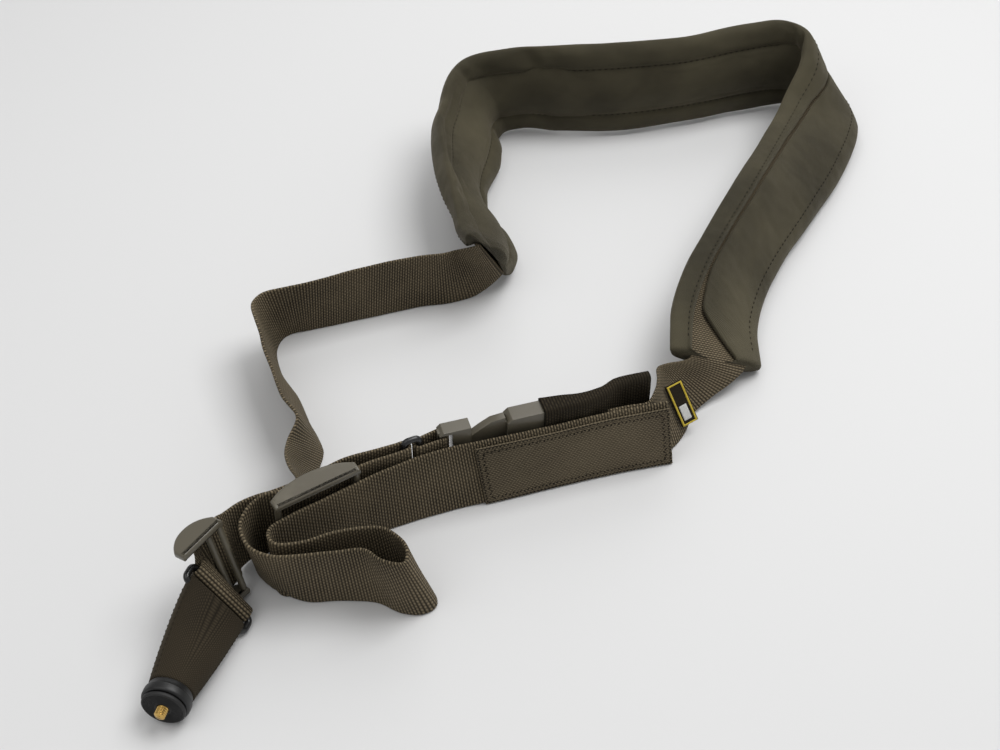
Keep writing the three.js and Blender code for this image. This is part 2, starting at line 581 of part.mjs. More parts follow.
const connectorUp = vec(CONNECTOR.over_x, CONNECTOR.over_y, 0);
connectorUp.z = Math.sqrt(1 - connectorUp.lengthSq());
const LOOP_WINDOW = LOOP_WIDTH + 4 * EASE;
const connectorLift = (LOOP_WINDOW / 2 + RING_WIRE) * connectorUp.z + RING_WIRE * 0.15;
const connectorHeading = THREE.MathUtils.radToDeg(Math.atan2(CONNECTOR.run_y, CONNECTOR.run_x));
const loopFrame = frameAt(vec(CONNECTOR.x * LAY_X, CONNECTOR.y * LAY_Y, connectorLift),
  connectorHeading, connectorUp);
const loopBar = { along: 0, out: 0 };
const mouthBar = { along: LOOP_REACH, out: 0 };
add("connector_ring", wireRing(loopFrame, loopBar, mouthBar, LOOP_WINDOW), BLACK_METAL);

// The shoulder strap: from its sewn end at the short adjuster round the connector's ring,
// over the adjuster's middle bar, up the twisted run, through the pad and down to the label
const loopTurn = edgesRound(loopFrame, loopBar, RING_CLEAR, 95, -95, LOOP_WIDTH);
const midBar = shortBars[1].along;
const crossing = {
  low: pointIn(shortFrame, midBar + 5, -2, -STRAP_WIDTH / 2 + 5.4),
  high: pointIn(shortFrame, midBar + 5, -5, STRAP_WIDTH / 2 - 3),
};
const loopLeg = smooth([loopTurn[loopTurn.length - 1],
  edgesIn(loopFrame, -3.5, -RING_CLEAR, LOOP_WIDTH), crossing,
  edgesIn(shortFrame, midBar, -BAR_CLEAR - 0.2), edgesIn(shortFrame, midBar - 6, -BAR_CLEAR),
  edgesIn(shortFrame, midBar - 12, -3.5)]);
const loopTail = [2 * STEPS, 2 * STEPS - 1].map((i) => {
  const { out } = axesAt(loopLeg, i);
  const side = out.dot(loopFrame.out) > 0 ? LAYER_STEP : -LAYER_STEP;
  return {
    low: loopLeg[i].low.clone().addScaledVector(out, side),
    high: loopLeg[i].high.clone().addScaledVector(out, side),
  };
});
const loopStart = smooth([loopTail[0], loopTail[1],
  edgesIn(loopFrame, -4.6, 1.8, LOOP_WIDTH), loopTurn[0]]).slice(STEPS - 2, -1);

// Pad stations: edges, shares of width and thickness, flaps and fold between the rows
function padStations() {
  const edges = smooth(PAD_RUN.map((row) => edgesOf(row, PAD_WIDTH)), PAD_STEPS);
  return edges.map((edge, i) => {
    const row = PAD_RUN[Math.min(Math.floor(i / PAD_STEPS), PAD_RUN.length - 2)];
    const next = PAD_RUN[PAD_RUN.indexOf(row) + 1];
    const share = i / PAD_STEPS - PAD_RUN.indexOf(row);
    const between = (key) => row[key] + (next[key] - row[key]) * share;
    return { ...edge, ...axesAt(edges, i), width: between("width"), thick: between("thick"),
      openLow: between("open_low"), openHigh: between("open_high"), fold: between("fold") };
  });
}

const FOLD_FROM = 0.38; // the strip beyond the passage, as a share of the width
const TONGUE = 0.853; // below this share of the width only the padding goes on
const TONGUE_BLEND = 0.06; // the sleeve's flaps open fully over this much more width
const TONGUE_LEVEL = 0.02; // height kept between the corners that lie flat there
const PASSAGE = 0.365; // half the width of the passage for the webbing
const stations = padStations();

// A point of the pad's section: across is a share of the width, out in millimetres
function padPoint(station, across, out) {
  const middle = station.low.clone().lerp(station.high, 0.5);
  const raised = Math.max(0, across - FOLD_FROM) / (0.5 - FOLD_FROM);
  return middle
    .addScaledVector(station.across, across * station.width * PAD_WIDTH)
    .addScaledVector(station.out, out + raised * station.fold * FOLD_RISE);
}

function padSection(station) {
  const thick = station.thick * PAD_THICK;
  const face = PAD_FACE.map((row) => ({ across: row.across, out: row.out * thick }));
  const back = face[face.length - 1].out;
  const inner = back + PAD_WALL;
  const floor = inner + SLEEVE_ROOM;
  const flap = (open) => {
    const edge = Math.min(open, PASSAGE - 0.02);
    return [
      { across: edge, out: back - 0.4 },
      { across: edge, out: inner - 0.4 },
      { across: PASSAGE, out: inner },
      { across: PASSAGE, out: floor },
    ];
  };
  const bare = 1 - THREE.MathUtils.clamp((station.width - TONGUE) / TONGUE_BLEND, 0, 1);
  const side = (open, sign) => [...face, ...flap(open)].map((point, i, all) => {
    const level = floor - TONGUE_LEVEL * (all.length - 1 - i);
    const out = point.out + Math.max(0, level - point.out) * bare;
    return padPoint(station, sign * point.across, out);
  });
  const high = side(station.openHigh, 1);
  const low = side(station.openLow, -1).slice(1).reverse();
  return [...high, ...low];
}

add("shoulder_pad", loft(stations.map(padSection)), PAD_FABRIC);

// The webbing's edges in the passage of the pad
const passageEdges = stations.map((station) => {
  const thick = station.thick * PAD_THICK;
  const out = PAD_FACE[PAD_FACE.length - 1].out * thick + PAD_WALL + SLEEVE_ROOM / 2;
  const middle = station.low.clone().lerp(station.high, 0.5).addScaledVector(station.out, out);
  const half = (STRAP_WIDTH - SLEEVE_SQUEEZE) / 2;
  return {
    low: middle.clone().addScaledVector(station.across, -half),
    high: middle.clone().addScaledVector(station.across, half),
  };
});
const INSIDE_FROM = 1;
const INSIDE_TO = passageEdges.length;
const inside = passageEdges.slice(INSIDE_FROM, INSIDE_TO);
const leftRows = LEFT_RUN.map((row) => edgesOf(row, STRAP_WIDTH));
const rightRows = RIGHT_RUN.map((row) => edgesOf(row, STRAP_WIDTH));

// The webbing's end behind the label strap
const seamFrom = 1;
const seamTo = 4;
const labelEdges = frontEdges;
const seamEdges = labelEdges.slice(seamFrom, seamTo).map((edge, i) => {
  const { out } = axesAt(labelEdges, i + seamFrom);
  return {
    low: edge.low.clone().addScaledVector(out, LAYER_STEP),
    high: edge.high.clone().addScaledVector(out, LAYER_STEP),
  };
});
const leftEdges = smooth([loopLeg[loopLeg.length - 1 - STEPS], loopLeg[loopLeg.length - 1],
  ...leftRows, inside[0], inside[2]]).slice(STEPS + 1, -STEPS - 1);
const rightEdges = smooth([inside[inside.length - 3], inside[inside.length - 1],
  ...rightRows, seamEdges[0], seamEdges[1]]).slice(STEPS + 1, -STEPS - 1);
const shoulderEdges = [
  ...loopStart,
  ...loopTurn,
  ...loopLeg.slice(1),
  ...leftEdges,
  ...inside,
  ...rightEdges,
  ...seamEdges,
];
const leftStart = loopStart.length + loopTurn.length + loopLeg.length - 1;
const insideStart = leftStart + leftEdges.length;
addParts(["shoulder_webbing_loop", "shoulder_webbing_left", "shoulder_webbing_right"],
  shoulderEdges, [leftStart + 16 * STEPS, insideStart + 6 * PAD_STEPS]);

// Label patch and side tag on the front strap
const OUTER = HALF_STRAP + SEAM_GAP / 2;
function partOf(edges, length, startAt) {
  const picked = [];
  let travelled = 0;
  for (let i = startAt; i < edges.length; i += 1) {
    if (i > startAt) {
      travelled += edges[i].low.distanceTo(edges[i - 1].low);
    }
    if (travelled > length) break;
    picked.push(i);
  }
  return picked;
}
const patchAt = partOf(frontEdges, PATCH_LENGTH, 0);
const patchEdges = patchAt.map((i) => {
  const { out } = axesAt(frontEdges, i);
  const step = -(OUTER + PATCH_THICK / 2);
  return {
    low: frontEdges[i].low.clone().addScaledVector(out, step),
    high: frontEdges[i].high.clone().addScaledVector(out, step),
  };
});
add("label_patch", strapAlong(patchEdges, PATCH_THICK, { to: PATCH_HEIGHT / STRAP_WIDTH }),
  PATCH);

// Buckle, standing on its edge behind the label strap
const BUCKLE_LIFT = KEEPER_WALL + EASE;
const buckleFrame = frameAt(vec(BUCKLE_PLACE.x * LAY_X, BUCKLE_PLACE.y * LAY_Y,
  BUCKLE_LIFT + BUCKLE_HEIGHT / 2), BUCKLE_PLACE.heading);

function block(from, to, thick, low, high) {
  const box = new THREE.BoxGeometry(to - from, thick, high - low);
  return toSolid(box.translate((from + to) / 2, 0, (low + high) / 2));
}

// A flat plate in the frame's upright plane, from corners along and up
function plate(corners, thick) {
  const shape = new THREE.Shape(corners.map(([along, up]) => new THREE.Vector2(along, up)));
  const geometry = new THREE.ExtrudeGeometry(shape, { depth: thick, bevelEnabled: false });
  geometry.rotateX(Math.PI / 2).translate(0, thick / 2, 0);
  return toSolid(geometry);
}

const HALF_BUCKLE = BUCKLE_HEIGHT / 2;
const CAVITY = HALF_BUCKLE - BUCKLE_WALL;
const CAVITY_THICK = BUCKLE_THICK - 2 * BUCKLE_WALL;
const TONGUE_THICK = CAVITY_THICK - 2 * EASE;
const CHAMFER = 3;

function socket() {
  const end = SOCKET_LENGTH;
  const shown = SOCKET_SHOWN;
  const outline = [[0, -HALF_BUCKLE + CHAMFER], [CHAMFER, -HALF_BUCKLE], [shown, -HALF_BUCKLE],
    [shown, HALF_BUCKLE], [CHAMFER, HALF_BUCKLE], [0, HALF_BUCKLE - CHAMFER]];
  let solid = plate(outline, BUCKLE_THICK);
  solid = solid.add(block(shown - 1, end, SOCKET_END_THICK, -HALF_BUCKLE, HALF_BUCKLE));
  solid = solid.subtract(block(-1, shown, CAVITY_THICK, -CAVITY, CAVITY));
  return solid.subtract(block(end - 7, end - 3, BUCKLE_THICK, -CAVITY, CAVITY));
}

function plug() {
  const base = -PLUG_NECK;
  const back = base - PLUG_BASE;
  const outline = [[back, -HALF_BUCKLE + CHAMFER], [back + CHAMFER, -HALF_BUCKLE],
    [base, -HALF_BUCKLE], [base, HALF_BUCKLE], [back + CHAMFER, HALF_BUCKLE],
    [back, HALF_BUCKLE - CHAMFER]];
  let solid = plate(outline, BUCKLE_THICK - 2);
  solid = solid.subtract(block(back - 1, back + PLUG_BAR + PLUG_WINDOW, BUCKLE_THICK, -CAVITY, CAVITY));
  solid = solid.add(block(back, back + PLUG_BAR, PLUG_BAR, -CAVITY - 1, CAVITY + 1));
  solid = solid.add(block(base - 1, SOCKET_SHOWN - 6, TONGUE_THICK, -4, 4));
  [1, -1].forEach((side) => {
    const prong = [[base - 1, 5], [base - 1, 18], [base + 6, 23], [-9, 27], [-EASE, 28],
      [-EASE, CAVITY - 1], [14, CAVITY - 0.6], [17, CAVITY - 5], [14, CAVITY - 9], [-6, 11]];
    const shape = prong.map(([along, up]) => [along, side * up]);
    solid = solid.add(plate(side > 0 ? shape : shape.reverse(), TONGUE_THICK));
  });
  return solid;
}
add("buckle_socket", placeIn(buckleFrame, toGeometry(socket())), PLASTIC);
add("buckle_plug", placeIn(buckleFrame, toGeometry(plug())), PLASTIC);

// Short webbing loop from the plug's bar to the ring
const plugBar = { along: PLUG_BAR / 2 - PLUG_NECK - PLUG_BASE, out: 0 };
const ringAt = pointIn(ringFrame, ringFar.along, ringFar.out, 0);
const tabOrigin = pointIn(buckleFrame, plugBar.along, plugBar.out, 0);
const fromPlug = ringAt.clone().sub(tabOrigin);
const tabHeading = THREE.MathUtils.radToDeg(Math.atan2(fromPlug.y, fromPlug.x));
const tabFrame = frameAt(tabOrigin, tabHeading);
const tabLength = Math.hypot(fromPlug.x, fromPlug.y);
const PLUG_CLEAR = (PLUG_BAR / 2) * Math.SQRT2 + EASE + HALF_STRAP;
const tabEdges = [
  ...edgesRound(tabFrame, { along: 0, out: 0 }, PLUG_CLEAR, 90, 270, STRAP_WIDTH - 2),
  ...edgesRound(tabFrame, { along: tabLength, out: 0 }, RING_CLEAR, -90, 90, STRAP_WIDTH - 2),
];
add("buckle_tab", strapAlong(tabEdges, STRAP_THICK, { wrap: true }), WEBBING);

// Elastic keeper: a flat tube over the socket, sewn to the strap at its far end
function roundedRing(frame, along, out, thick, height, corner) {
  const points = [];
  [[1, 1, 0], [-1, 1, 90], [-1, -1, 180], [1, -1, 270]].forEach(([sideOut, sideUp, start]) => {
    for (let i = 0; i <= 2; i += 1) {
      const angle = THREE.MathUtils.degToRad(start + 45 * i);
      points.push(pointIn(frame, along,
        out + sideOut * (thick / 2 - corner) + corner * Math.cos(angle),
        sideUp * (height / 2 - corner) + corner * Math.sin(angle)));
    }
  });
  return points;
}

// along is a share of the keeper's length; out and thick are shares of the buckle's thickness
const KEEPER_RUN = [
  { along: 0.0, out: 0.0, thick: 1.31 },
  { along: 0.18, out: -0.05, thick: 1.18 },
  { along: 0.36, out: -0.13, thick: 1.0 },
  { along: 0.54, out: 0.04, thick: 0.86 },
  { along: 0.73, out: 0.52, thick: 0.76 },
  { along: 1.0, out: 0.57, thick: 0.62 },
];

function keeperRings(wall, spill) {
  const tall = BUCKLE_HEIGHT + 2 * (EASE + KEEPER_WALL - wall);
  return KEEPER_RUN.map((row, i) => {
    const edge = (i === 0 ? -spill : 0) + (i === KEEPER_RUN.length - 1 ? spill : 0);
    return roundedRing(buckleFrame, SOCKET_SHOWN + row.along * KEEPER_LENGTH + edge,
      row.out * BUCKLE_THICK, row.thick * BUCKLE_THICK - 2 * wall, tall, 2.6 - wall);
  });
}

function keeper() {
  const hollow = toSolid(loft(keeperRings(KEEPER_WALL, 1)));
  return toGeometry(toSolid(loft(keeperRings(0, 0))).subtract(hollow));
}
add("elastic_keeper", keeper(), ELASTIC);

// Side tag on the front of the shoulder webbing, beside the label's end
const tagFrom = shoulderEdges.length - seamEdges.length - TAG_PLACE;
const tagEdges = partOf(shoulderEdges, TAG_LENGTH, tagFrom).map((i) => {
  const { out } = axesAt(shoulderEdges, i);
  return {
    low: shoulderEdges[i].low.clone().addScaledVector(out, TAG_SIDE),
    high: shoulderEdges[i].high.clone().addScaledVector(out, TAG_SIDE),
  };
});
add("side_tag", strapAlong(tagEdges, TAG_THICK, { from: 0.16, to: 0.16 + TAG_HEIGHT / STRAP_WIDTH }),
  TAG);

// Camera connector: ring, tapered fabric sleeve, puck with its rubber seat and stud
const HEAD_CLEAR = RING_WIRE / 2 + EASE;
const SLEEVE_END = vec(-0.87, 0.1, 0.48).normalize();
const head = pointIn(loopFrame, mouthBar.along, mouthBar.out, 0);
const puckPitch = THREE.MathUtils.degToRad(PUCK_PLACE.pitch);
const puckAxis = vec(PUCK_PLACE.axis_x, PUCK_PLACE.axis_y, 0).normalize()
  .multiplyScalar(Math.cos(puckPitch));
puckAxis.z = Math.sin(puckPitch);
const puckBack = vec(PUCK_PLACE.x * LAY_X, PUCK_PLACE.y * LAY_Y,
  PUCK_RADIUS * Math.cos(puckPitch));

// Rings of the sleeve from its fold round the wire to the puck. slant tells how far the
// ring's wide direction has turned from the wire's to the puck's end; wall shrinks the rings
const CONNECTOR_RUN = [
  { reach: -0.075, slant: 0.0, wide: 1.0, deep: 0.35 },
  { reach: -0.055, slant: 0.0, wide: 1.0, deep: 0.75 },
  { reach: 0.0, slant: 0.0, wide: 1.0, deep: 1.0 },
  { reach: 0.2, slant: 0.2, wide: 0.93, deep: 1.15 },
  { reach: 0.45, slant: 0.5, wide: 0.83, deep: 1.55 },
  { reach: 0.75, slant: 0.8, wide: 0.71, deep: 2.1 },
  { reach: 1.0, slant: 1.0, wide: 0.60, deep: 2.6 },
];
function connectorRings(wall) {
  const axis = puckBack.clone().sub(head);
  return CONNECTOR_RUN.map((row) => {
    const straight = axis.clone().normalize();
    const along = row.reach > 0 ? straight.lerp(puckAxis, row.slant).normalize()
      : loopFrame.along.clone();
    const wide = loopFrame.up.clone().lerp(SLEEVE_END, row.slant).normalize();
    wide.addScaledVector(along, -wide.dot(along)).normalize();
    const deep = along.clone().cross(wide).normalize();
    const centre = head.clone().addScaledVector(row.reach > 0 ? axis
      : along.clone().multiplyScalar(axis.length()), row.reach);
    const halfWide = (row.wide * CONNECTOR_WIDTH) / 2 - wall;
    const halfDeep = row.deep * (HEAD_CLEAR + CONNECTOR_WALL) - wall;
    return superEllipse(centre, wide, deep, halfWide, halfDeep, 2 + 2 * (1 - row.slant));
  });
}

function superEllipse(centre, wide, deep, halfWide, halfDeep, power) {
  const sides = 20;
  return Array.from({ length: sides }, (_, i) => {
    const angle = (2 * Math.PI * (i + 0.5)) / sides;
    const c = Math.cos(angle);
    const s = Math.sin(angle);
    return centre.clone()
      .addScaledVector(wide, halfWide * Math.sign(c) * Math.abs(c) ** (2 / power))
      .addScaledVector(deep, halfDeep * Math.sign(s) * Math.abs(s) ** (2 / power));
  });
}

function connectorSleeve() {
  const outer = toSolid(loft(connectorRings(0)));
  const room = connectorRings(CONNECTOR_WALL).slice(3);
  const axis = puckBack.clone().sub(head).normalize();
  const mouth = room[room.length - 1].map((point) => point.clone().addScaledVector(axis, 2));
  const inner = toSolid(loft([...room, mouth]));
  const hole = new THREE.CylinderGeometry(HEAD_CLEAR, HEAD_CLEAR, CONNECTOR_WIDTH + 20, 12);
  hole.rotateX(Math.PI / 2);
  const wireFrame = { ...loopFrame, origin: head };
  return toGeometry(outer.subtract(inner).subtract(toSolid(placeIn(wireFrame, hole))));
}
add("connector_sleeve", connectorSleeve(), CONNECTOR_FABRIC);

// Turned parts stand on the puck's axis, from its back to the stud's tip
function turned(profile, at, sides) {
  const points = profile.map(([radius, height]) => new THREE.Vector2(radius, height));
  const geometry = mergeVertices(new THREE.LatheGeometry(points, sides)
    .deleteAttribute("normal").deleteAttribute("uv"));
  const turn = new THREE.Quaternion().setFromUnitVectors(vec(0, 1, 0), puckAxis);
  geometry.applyQuaternion(turn);
  geometry.translate(...puckBack.clone().addScaledVector(puckAxis, at).toArray());
  return facingOut(geometry);
}
const GROOVE = 1;
const PUCK_GAP = 0.3;
add("puck_body", turned([[0, 0], [PUCK_RADIUS - GROOVE, 0], [PUCK_RADIUS - GROOVE, 3],
  [PUCK_RADIUS, 4.2], [PUCK_RADIUS, PUCK_HEIGHT - 1], [PUCK_RADIUS - GROOVE, PUCK_HEIGHT],
  [STUD_RADIUS + PUCK_GAP, PUCK_HEIGHT],
  [STUD_RADIUS + PUCK_GAP, PUCK_HEIGHT - STUD_ROOT], [0, PUCK_HEIGHT - STUD_ROOT]],
PUCK_GAP, 28), PUCK_BODY);
const seatAt = PUCK_GAP + PUCK_HEIGHT + PUCK_GAP;
add("puck_seat", turned([[STUD_RADIUS + PUCK_GAP, 0], [SEAT_RADIUS, 0],
  [SEAT_RADIUS, SEAT_HEIGHT], [STUD_RADIUS + PUCK_GAP, SEAT_HEIGHT],
  [STUD_RADIUS + PUCK_GAP, 0]], seatAt, 28), SEAT_RUBBER);
const studAt = PUCK_GAP + PUCK_HEIGHT - STUD_ROOT + PUCK_GAP;
const studLength = seatAt + SEAT_HEIGHT + STUD_LENGTH - studAt;
add("camera_stud", turned([[0, 0], [STUD_RADIUS, 0], [STUD_RADIUS, studLength - 0.8],
  [STUD_RADIUS - 0.8, studLength], [0, studLength]], studAt, 16), BRASS);

// The origin goes to the floor under the middle of the whole strap
const bounds = new THREE.Box3().setFromObject(GROUP);
const middle = bounds.getCenter(vec(0, 0, 0));
GROUP.children.forEach((mesh) => {
  mesh.geometry.translate(-middle.x, -middle.y, -bounds.min.z);
});

export default GROUP;
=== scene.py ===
"""Camera shoulder strap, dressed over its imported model.

The straps, pad, labels and hardware are worked out as fine surfaces along the same routes
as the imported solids, and get woven, sewn, moulded and machined finishes from nodes. Route
tables are in shares of the named sizes, lengths in millimetres, meshes in metres.
"""

from __future__ import annotations

import json
import logging
from dataclasses import dataclass, field
from enum import Enum
from typing import Any, Sequence

import bmesh
import bpy
import numpy as np
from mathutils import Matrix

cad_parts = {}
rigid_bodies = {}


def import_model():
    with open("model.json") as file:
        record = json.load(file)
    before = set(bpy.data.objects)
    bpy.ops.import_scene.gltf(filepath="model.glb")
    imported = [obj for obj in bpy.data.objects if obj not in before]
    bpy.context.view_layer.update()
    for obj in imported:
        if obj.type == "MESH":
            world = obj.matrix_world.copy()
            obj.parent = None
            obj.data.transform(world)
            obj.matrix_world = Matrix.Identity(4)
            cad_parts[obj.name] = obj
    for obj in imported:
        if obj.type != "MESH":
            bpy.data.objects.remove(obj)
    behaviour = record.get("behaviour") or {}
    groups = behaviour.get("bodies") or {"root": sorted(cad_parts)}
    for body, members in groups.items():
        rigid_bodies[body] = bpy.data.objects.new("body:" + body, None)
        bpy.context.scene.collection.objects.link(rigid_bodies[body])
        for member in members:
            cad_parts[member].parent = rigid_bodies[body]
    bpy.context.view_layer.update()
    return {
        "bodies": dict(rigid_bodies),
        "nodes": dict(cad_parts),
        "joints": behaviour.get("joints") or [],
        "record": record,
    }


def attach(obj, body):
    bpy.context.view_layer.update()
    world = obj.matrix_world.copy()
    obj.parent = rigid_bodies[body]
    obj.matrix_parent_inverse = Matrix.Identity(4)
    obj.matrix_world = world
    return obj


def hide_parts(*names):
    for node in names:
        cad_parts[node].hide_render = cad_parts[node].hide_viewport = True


Array = np.ndarray
LOG = logging.getLogger("strap")

MM = 0.001
TAG_FREE = 0.6  # how far the tag's free side turns off the webbing
SHIFT = np.array([-48.848419, -27.006226, 0.330862])  # from the tables' origin to the floor's

# Driving sizes, as in the part's source
LAY = np.array([480.0, 580.0])
STRAP_WIDTH = 50.0
STRAP_THICK = 2.0
EASE = 0.4
LAYER_STEP = STRAP_THICK + 0.5
PAD_WIDTH = 82.0
PAD_THICK = 16.0
PAD_WALL = 2.0
SLEEVE_ROOM = 4.6
PASSAGE_WEBBING = STRAP_WIDTH - 1.0
BUCKLE_HEIGHT = 56.0
BUCKLE_THICK = 11.0
WIRE = 4.0
ROW_STEPS = 3  # sections between two rows of a table
PAD_STEPS = 4

# Columns: x, y (shares of the lay), over_x, over_y (how far the upper edge hangs over) and
# lift (how high the lower edge is, in strap widths)
LEFT_RUN = np.array([
    (-0.3167, -0.2810, -0.06, 0.03, 0.05), (-0.3062, -0.2655, -0.02, 0.02, 0.02),
    (-0.2885, -0.2526, 0.0, 0.0, 0.0), (-0.2667, -0.2414, -0.02, -0.05, 0.0),
    (-0.2448, -0.2267, 0.0, -0.08, 0.0), (-0.2365, -0.2103, -0.08, -0.18, 0.0),
    (-0.2354, -0.1845, -0.16, -0.36, 0.0), (-0.2375, -0.1517, -0.26, -0.44, 0.0),
    (-0.2333, -0.1207, -0.30, -0.50, 0.0), (-0.2438, -0.1000, -0.12, -0.44, 0.0),
    (-0.2583, -0.0759, -0.20, -0.38, 0.0), (-0.2771, -0.0379, -0.18, -0.40, 0.0),
    (-0.2917, -0.0207, -0.18, -0.26, 0.0), (-0.3042, -0.0034, -0.14, -0.18, 0.0),
    (-0.3125, 0.0172, -0.18, -0.08, 0.0), (-0.3167, 0.0414, -0.20, -0.12, 0.0),
    (-0.3104, 0.0603, -0.16, -0.16, 0.0), (-0.2958, 0.0707, -0.04, -0.18, 0.0),
    (-0.2688, 0.0776, 0.08, -0.14, 0.0), (-0.2208, 0.0897, 0.08, -0.08, 0.0),
    (-0.1583, 0.1069, 0.08, -0.06, 0.0), (-0.1188, 0.1172, 0.06, -0.08, 0.0),
    (-0.0750, 0.1241, -0.04, -0.10, 0.0), (-0.0354, 0.1362, -0.24, -0.16, 0.02),
])
RIGHT_RUN = np.array([
    (0.2640, -0.0600, -0.54, -0.02, 0.02), (0.2480, -0.0890, -0.42, 0.08, 0.0),
    (0.2313, -0.1103, -0.30, 0.10, 0.0),
])
FRONT_RUN = np.array([
    (0.2250, -0.1328, -0.12, 0.10, 0.0), (0.1542, -0.1466, -0.16, 0.08, 0.0),
    (0.0833, -0.1638, -0.16, 0.06, 0.0), (0.0042, -0.1845, -0.16, 0.08, 0.0),
    (-0.0646, -0.2017, -0.10, 0.10, 0.0), (-0.1396, -0.2259, -0.04, 0.04, 0.0),
    (-0.2021, -0.2552, -0.02, 0.0, 0.0), (-0.2479, -0.2793, 0.0, 0.0, 0.0),
    (-0.2658, -0.2914, 0.0, 0.0, 0.0), (-0.2683, -0.3017, 0.0, 0.0, 0.0),
    (-0.2583, -0.3103, 0.0, -0.02, 0.0), (-0.2313, -0.3069, 0.02, -0.04, 0.0),
    (-0.1979, -0.2983, 0.0, -0.02, 0.0), (-0.1583, -0.2931, -0.06, 0.0, 0.0),
    (-0.1229, -0.2948, -0.12, 0.02, 0.0), (-0.0979, -0.3017, -0.20, 0.0, 0.0),
    (-0.0792, -0.3121, -0.28, -0.02, 0.0), (-0.0771, -0.3241, -0.30, -0.08, 0.0),
    (-0.0917, -0.3328, -0.24, -0.02, 0.0), (-0.1167, -0.3310, -0.20, 0.02, 0.0),
    (-0.1458, -0.3190, -0.10, 0.0, 0.0), (-0.1875, -0.3155, -0.04, -0.08, 0.0),
    (-0.2292, -0.3172, 0.0, -0.10, 0.0), (-0.2625, -0.3069, 0.02, -0.22, 0.0),
    (-0.2812, -0.2948, -0.08, -0.22, 0.0), (-0.2938, -0.2828, -0.09, -0.08, 0.0),
    (-0.2979, -0.2724, 0.0, 0.0, 0.02), (-0.2875, -0.2612, 0.0, 0.0, 0.05),
    (-0.2729, -0.2578, 0.0, 0.0, 0.115),
])
# Further columns of the pad: width and thick (shares of its own), open_low and open_high
# (the sleeve's flaps, shares of the width) and fold (raised strip along the upper seam)
PAD_RUN = np.array([
    (0.0146, 0.1414, -0.30, -0.40, 0.10, 0.62, 0.60, 0.36, 0.36, 0.0),
    (0.0188, 0.1621, -0.38, -0.42, 0.07, 0.93, 0.80, 0.34, 0.34, 0.0),
    (0.0229, 0.1948, -0.48, -0.44, 0.04, 1.00, 0.90, 0.24, 0.20, 0.1),
    (0.0083, 0.2345, -0.46, -0.46, 0.04, 0.96, 0.90, 0.06, 0.06, 0.4),
    (-0.0125, 0.2672, -0.42, -0.44, 0.04, 0.92, 0.95, 0.02, 0.02, 0.8),
    (-0.0208, 0.3172, -0.46, -0.38, 0.04, 0.92, 1.00, 0.02, 0.02, 1.0),
    (-0.0021, 0.3793, -0.62, -0.24, 0.04, 0.98, 1.00, 0.02, 0.02, 1.0),
    (0.0021, 0.4121, -0.60, -0.22, 0.04, 0.96, 0.95, 0.02, 0.02, 0.8),
    (-0.0042, 0.4483, -0.46, -0.14, 0.03, 0.98, 0.90, 0.02, 0.02, 0.3),
    (0.0104, 0.4776, -0.38, -0.14, 0.02, 1.00, 0.90, 0.02, 0.02, 0.0),
    (0.0458, 0.4879, -0.20, -0.14, 0.02, 1.00, 0.95, 0.02, 0.02, 0.0),
    (0.1021, 0.4793, -0.06, -0.06, 0.02, 1.00, 1.00, 0.02, 0.02, 0.0),
    (0.2021, 0.4810, -0.10, -0.02, 0.02, 1.00, 1.00, 0.02, 0.02, 0.0),
    (0.3167, 0.5052, -0.10, -0.08, 0.02, 1.00, 1.00, 0.02, 0.02, 0.0),
    (0.4062, 0.5293, -0.04, -0.04, 0.02, 1.00, 1.00, 0.02, 0.02, 0.0),
    (0.4875, 0.5466, -0.14, -0.08, 0.02, 1.00, 0.95, 0.02, 0.02, 0.0),
    (0.5458, 0.5448, -0.30, -0.16, 0.02, 1.00, 0.90, 0.02, 0.02, 0.0),
    (0.5896, 0.5138, -0.58, -0.20, 0.03, 1.00, 0.95, -0.08, 0.12, 0.0),
    (0.5979, 0.4690, -0.82, -0.20, 0.04, 1.00, 1.00, -0.20, 0.24, 0.0),
    (0.5521, 0.3690, -0.84, -0.12, 0.04, 1.00, 1.00, -0.26, 0.30, 0.0),
    (0.4896, 0.2793, -0.78, -0.16, 0.04, 1.00, 1.00, -0.28, 0.32, 0.0),
    (0.4292, 0.1966, -0.77, -0.26, 0.04, 1.00, 1.00, -0.28, 0.32, 0.0),
    (0.3875, 0.1241, -0.76, -0.28, 0.04, 1.00, 0.95, -0.28, 0.32, 0.0),
    (0.3667, 0.0638, -0.78, -0.29, 0.04, 1.00, 0.90, -0.22, 0.32, 0.0),
    (0.3625, -0.0034, -0.81, -0.30, 0.04, 1.00, 0.75, 0.20, 0.34, 0.0),
])
# Connector's sleeve: place along it, slant from the wire's side to the puck's, width, depth
SLEEVE_RUN = np.array([
    (-0.075, 0.0, 1.0, 0.35), (-0.055, 0.0, 1.0, 0.75), (0.0, 0.0, 1.0, 1.0),
    (0.2, 0.2, 0.93, 1.15), (0.45, 0.5, 0.83, 1.55), (0.75, 0.8, 0.71, 2.1),
    (1.0, 1.0, 0.60, 2.6),
])
# The cover's front with its two quilted rows: share of the width, share of the thickness
COVER_FACE = np.array([
    (0.0, 0.50), (0.12, 0.50), (0.225, 0.47), (0.26, 0.35), (0.295, 0.455), (0.38, 0.44),
    (0.46, 0.28), (0.50, 0.0), (0.46, -0.30), (0.38, -0.46),
])
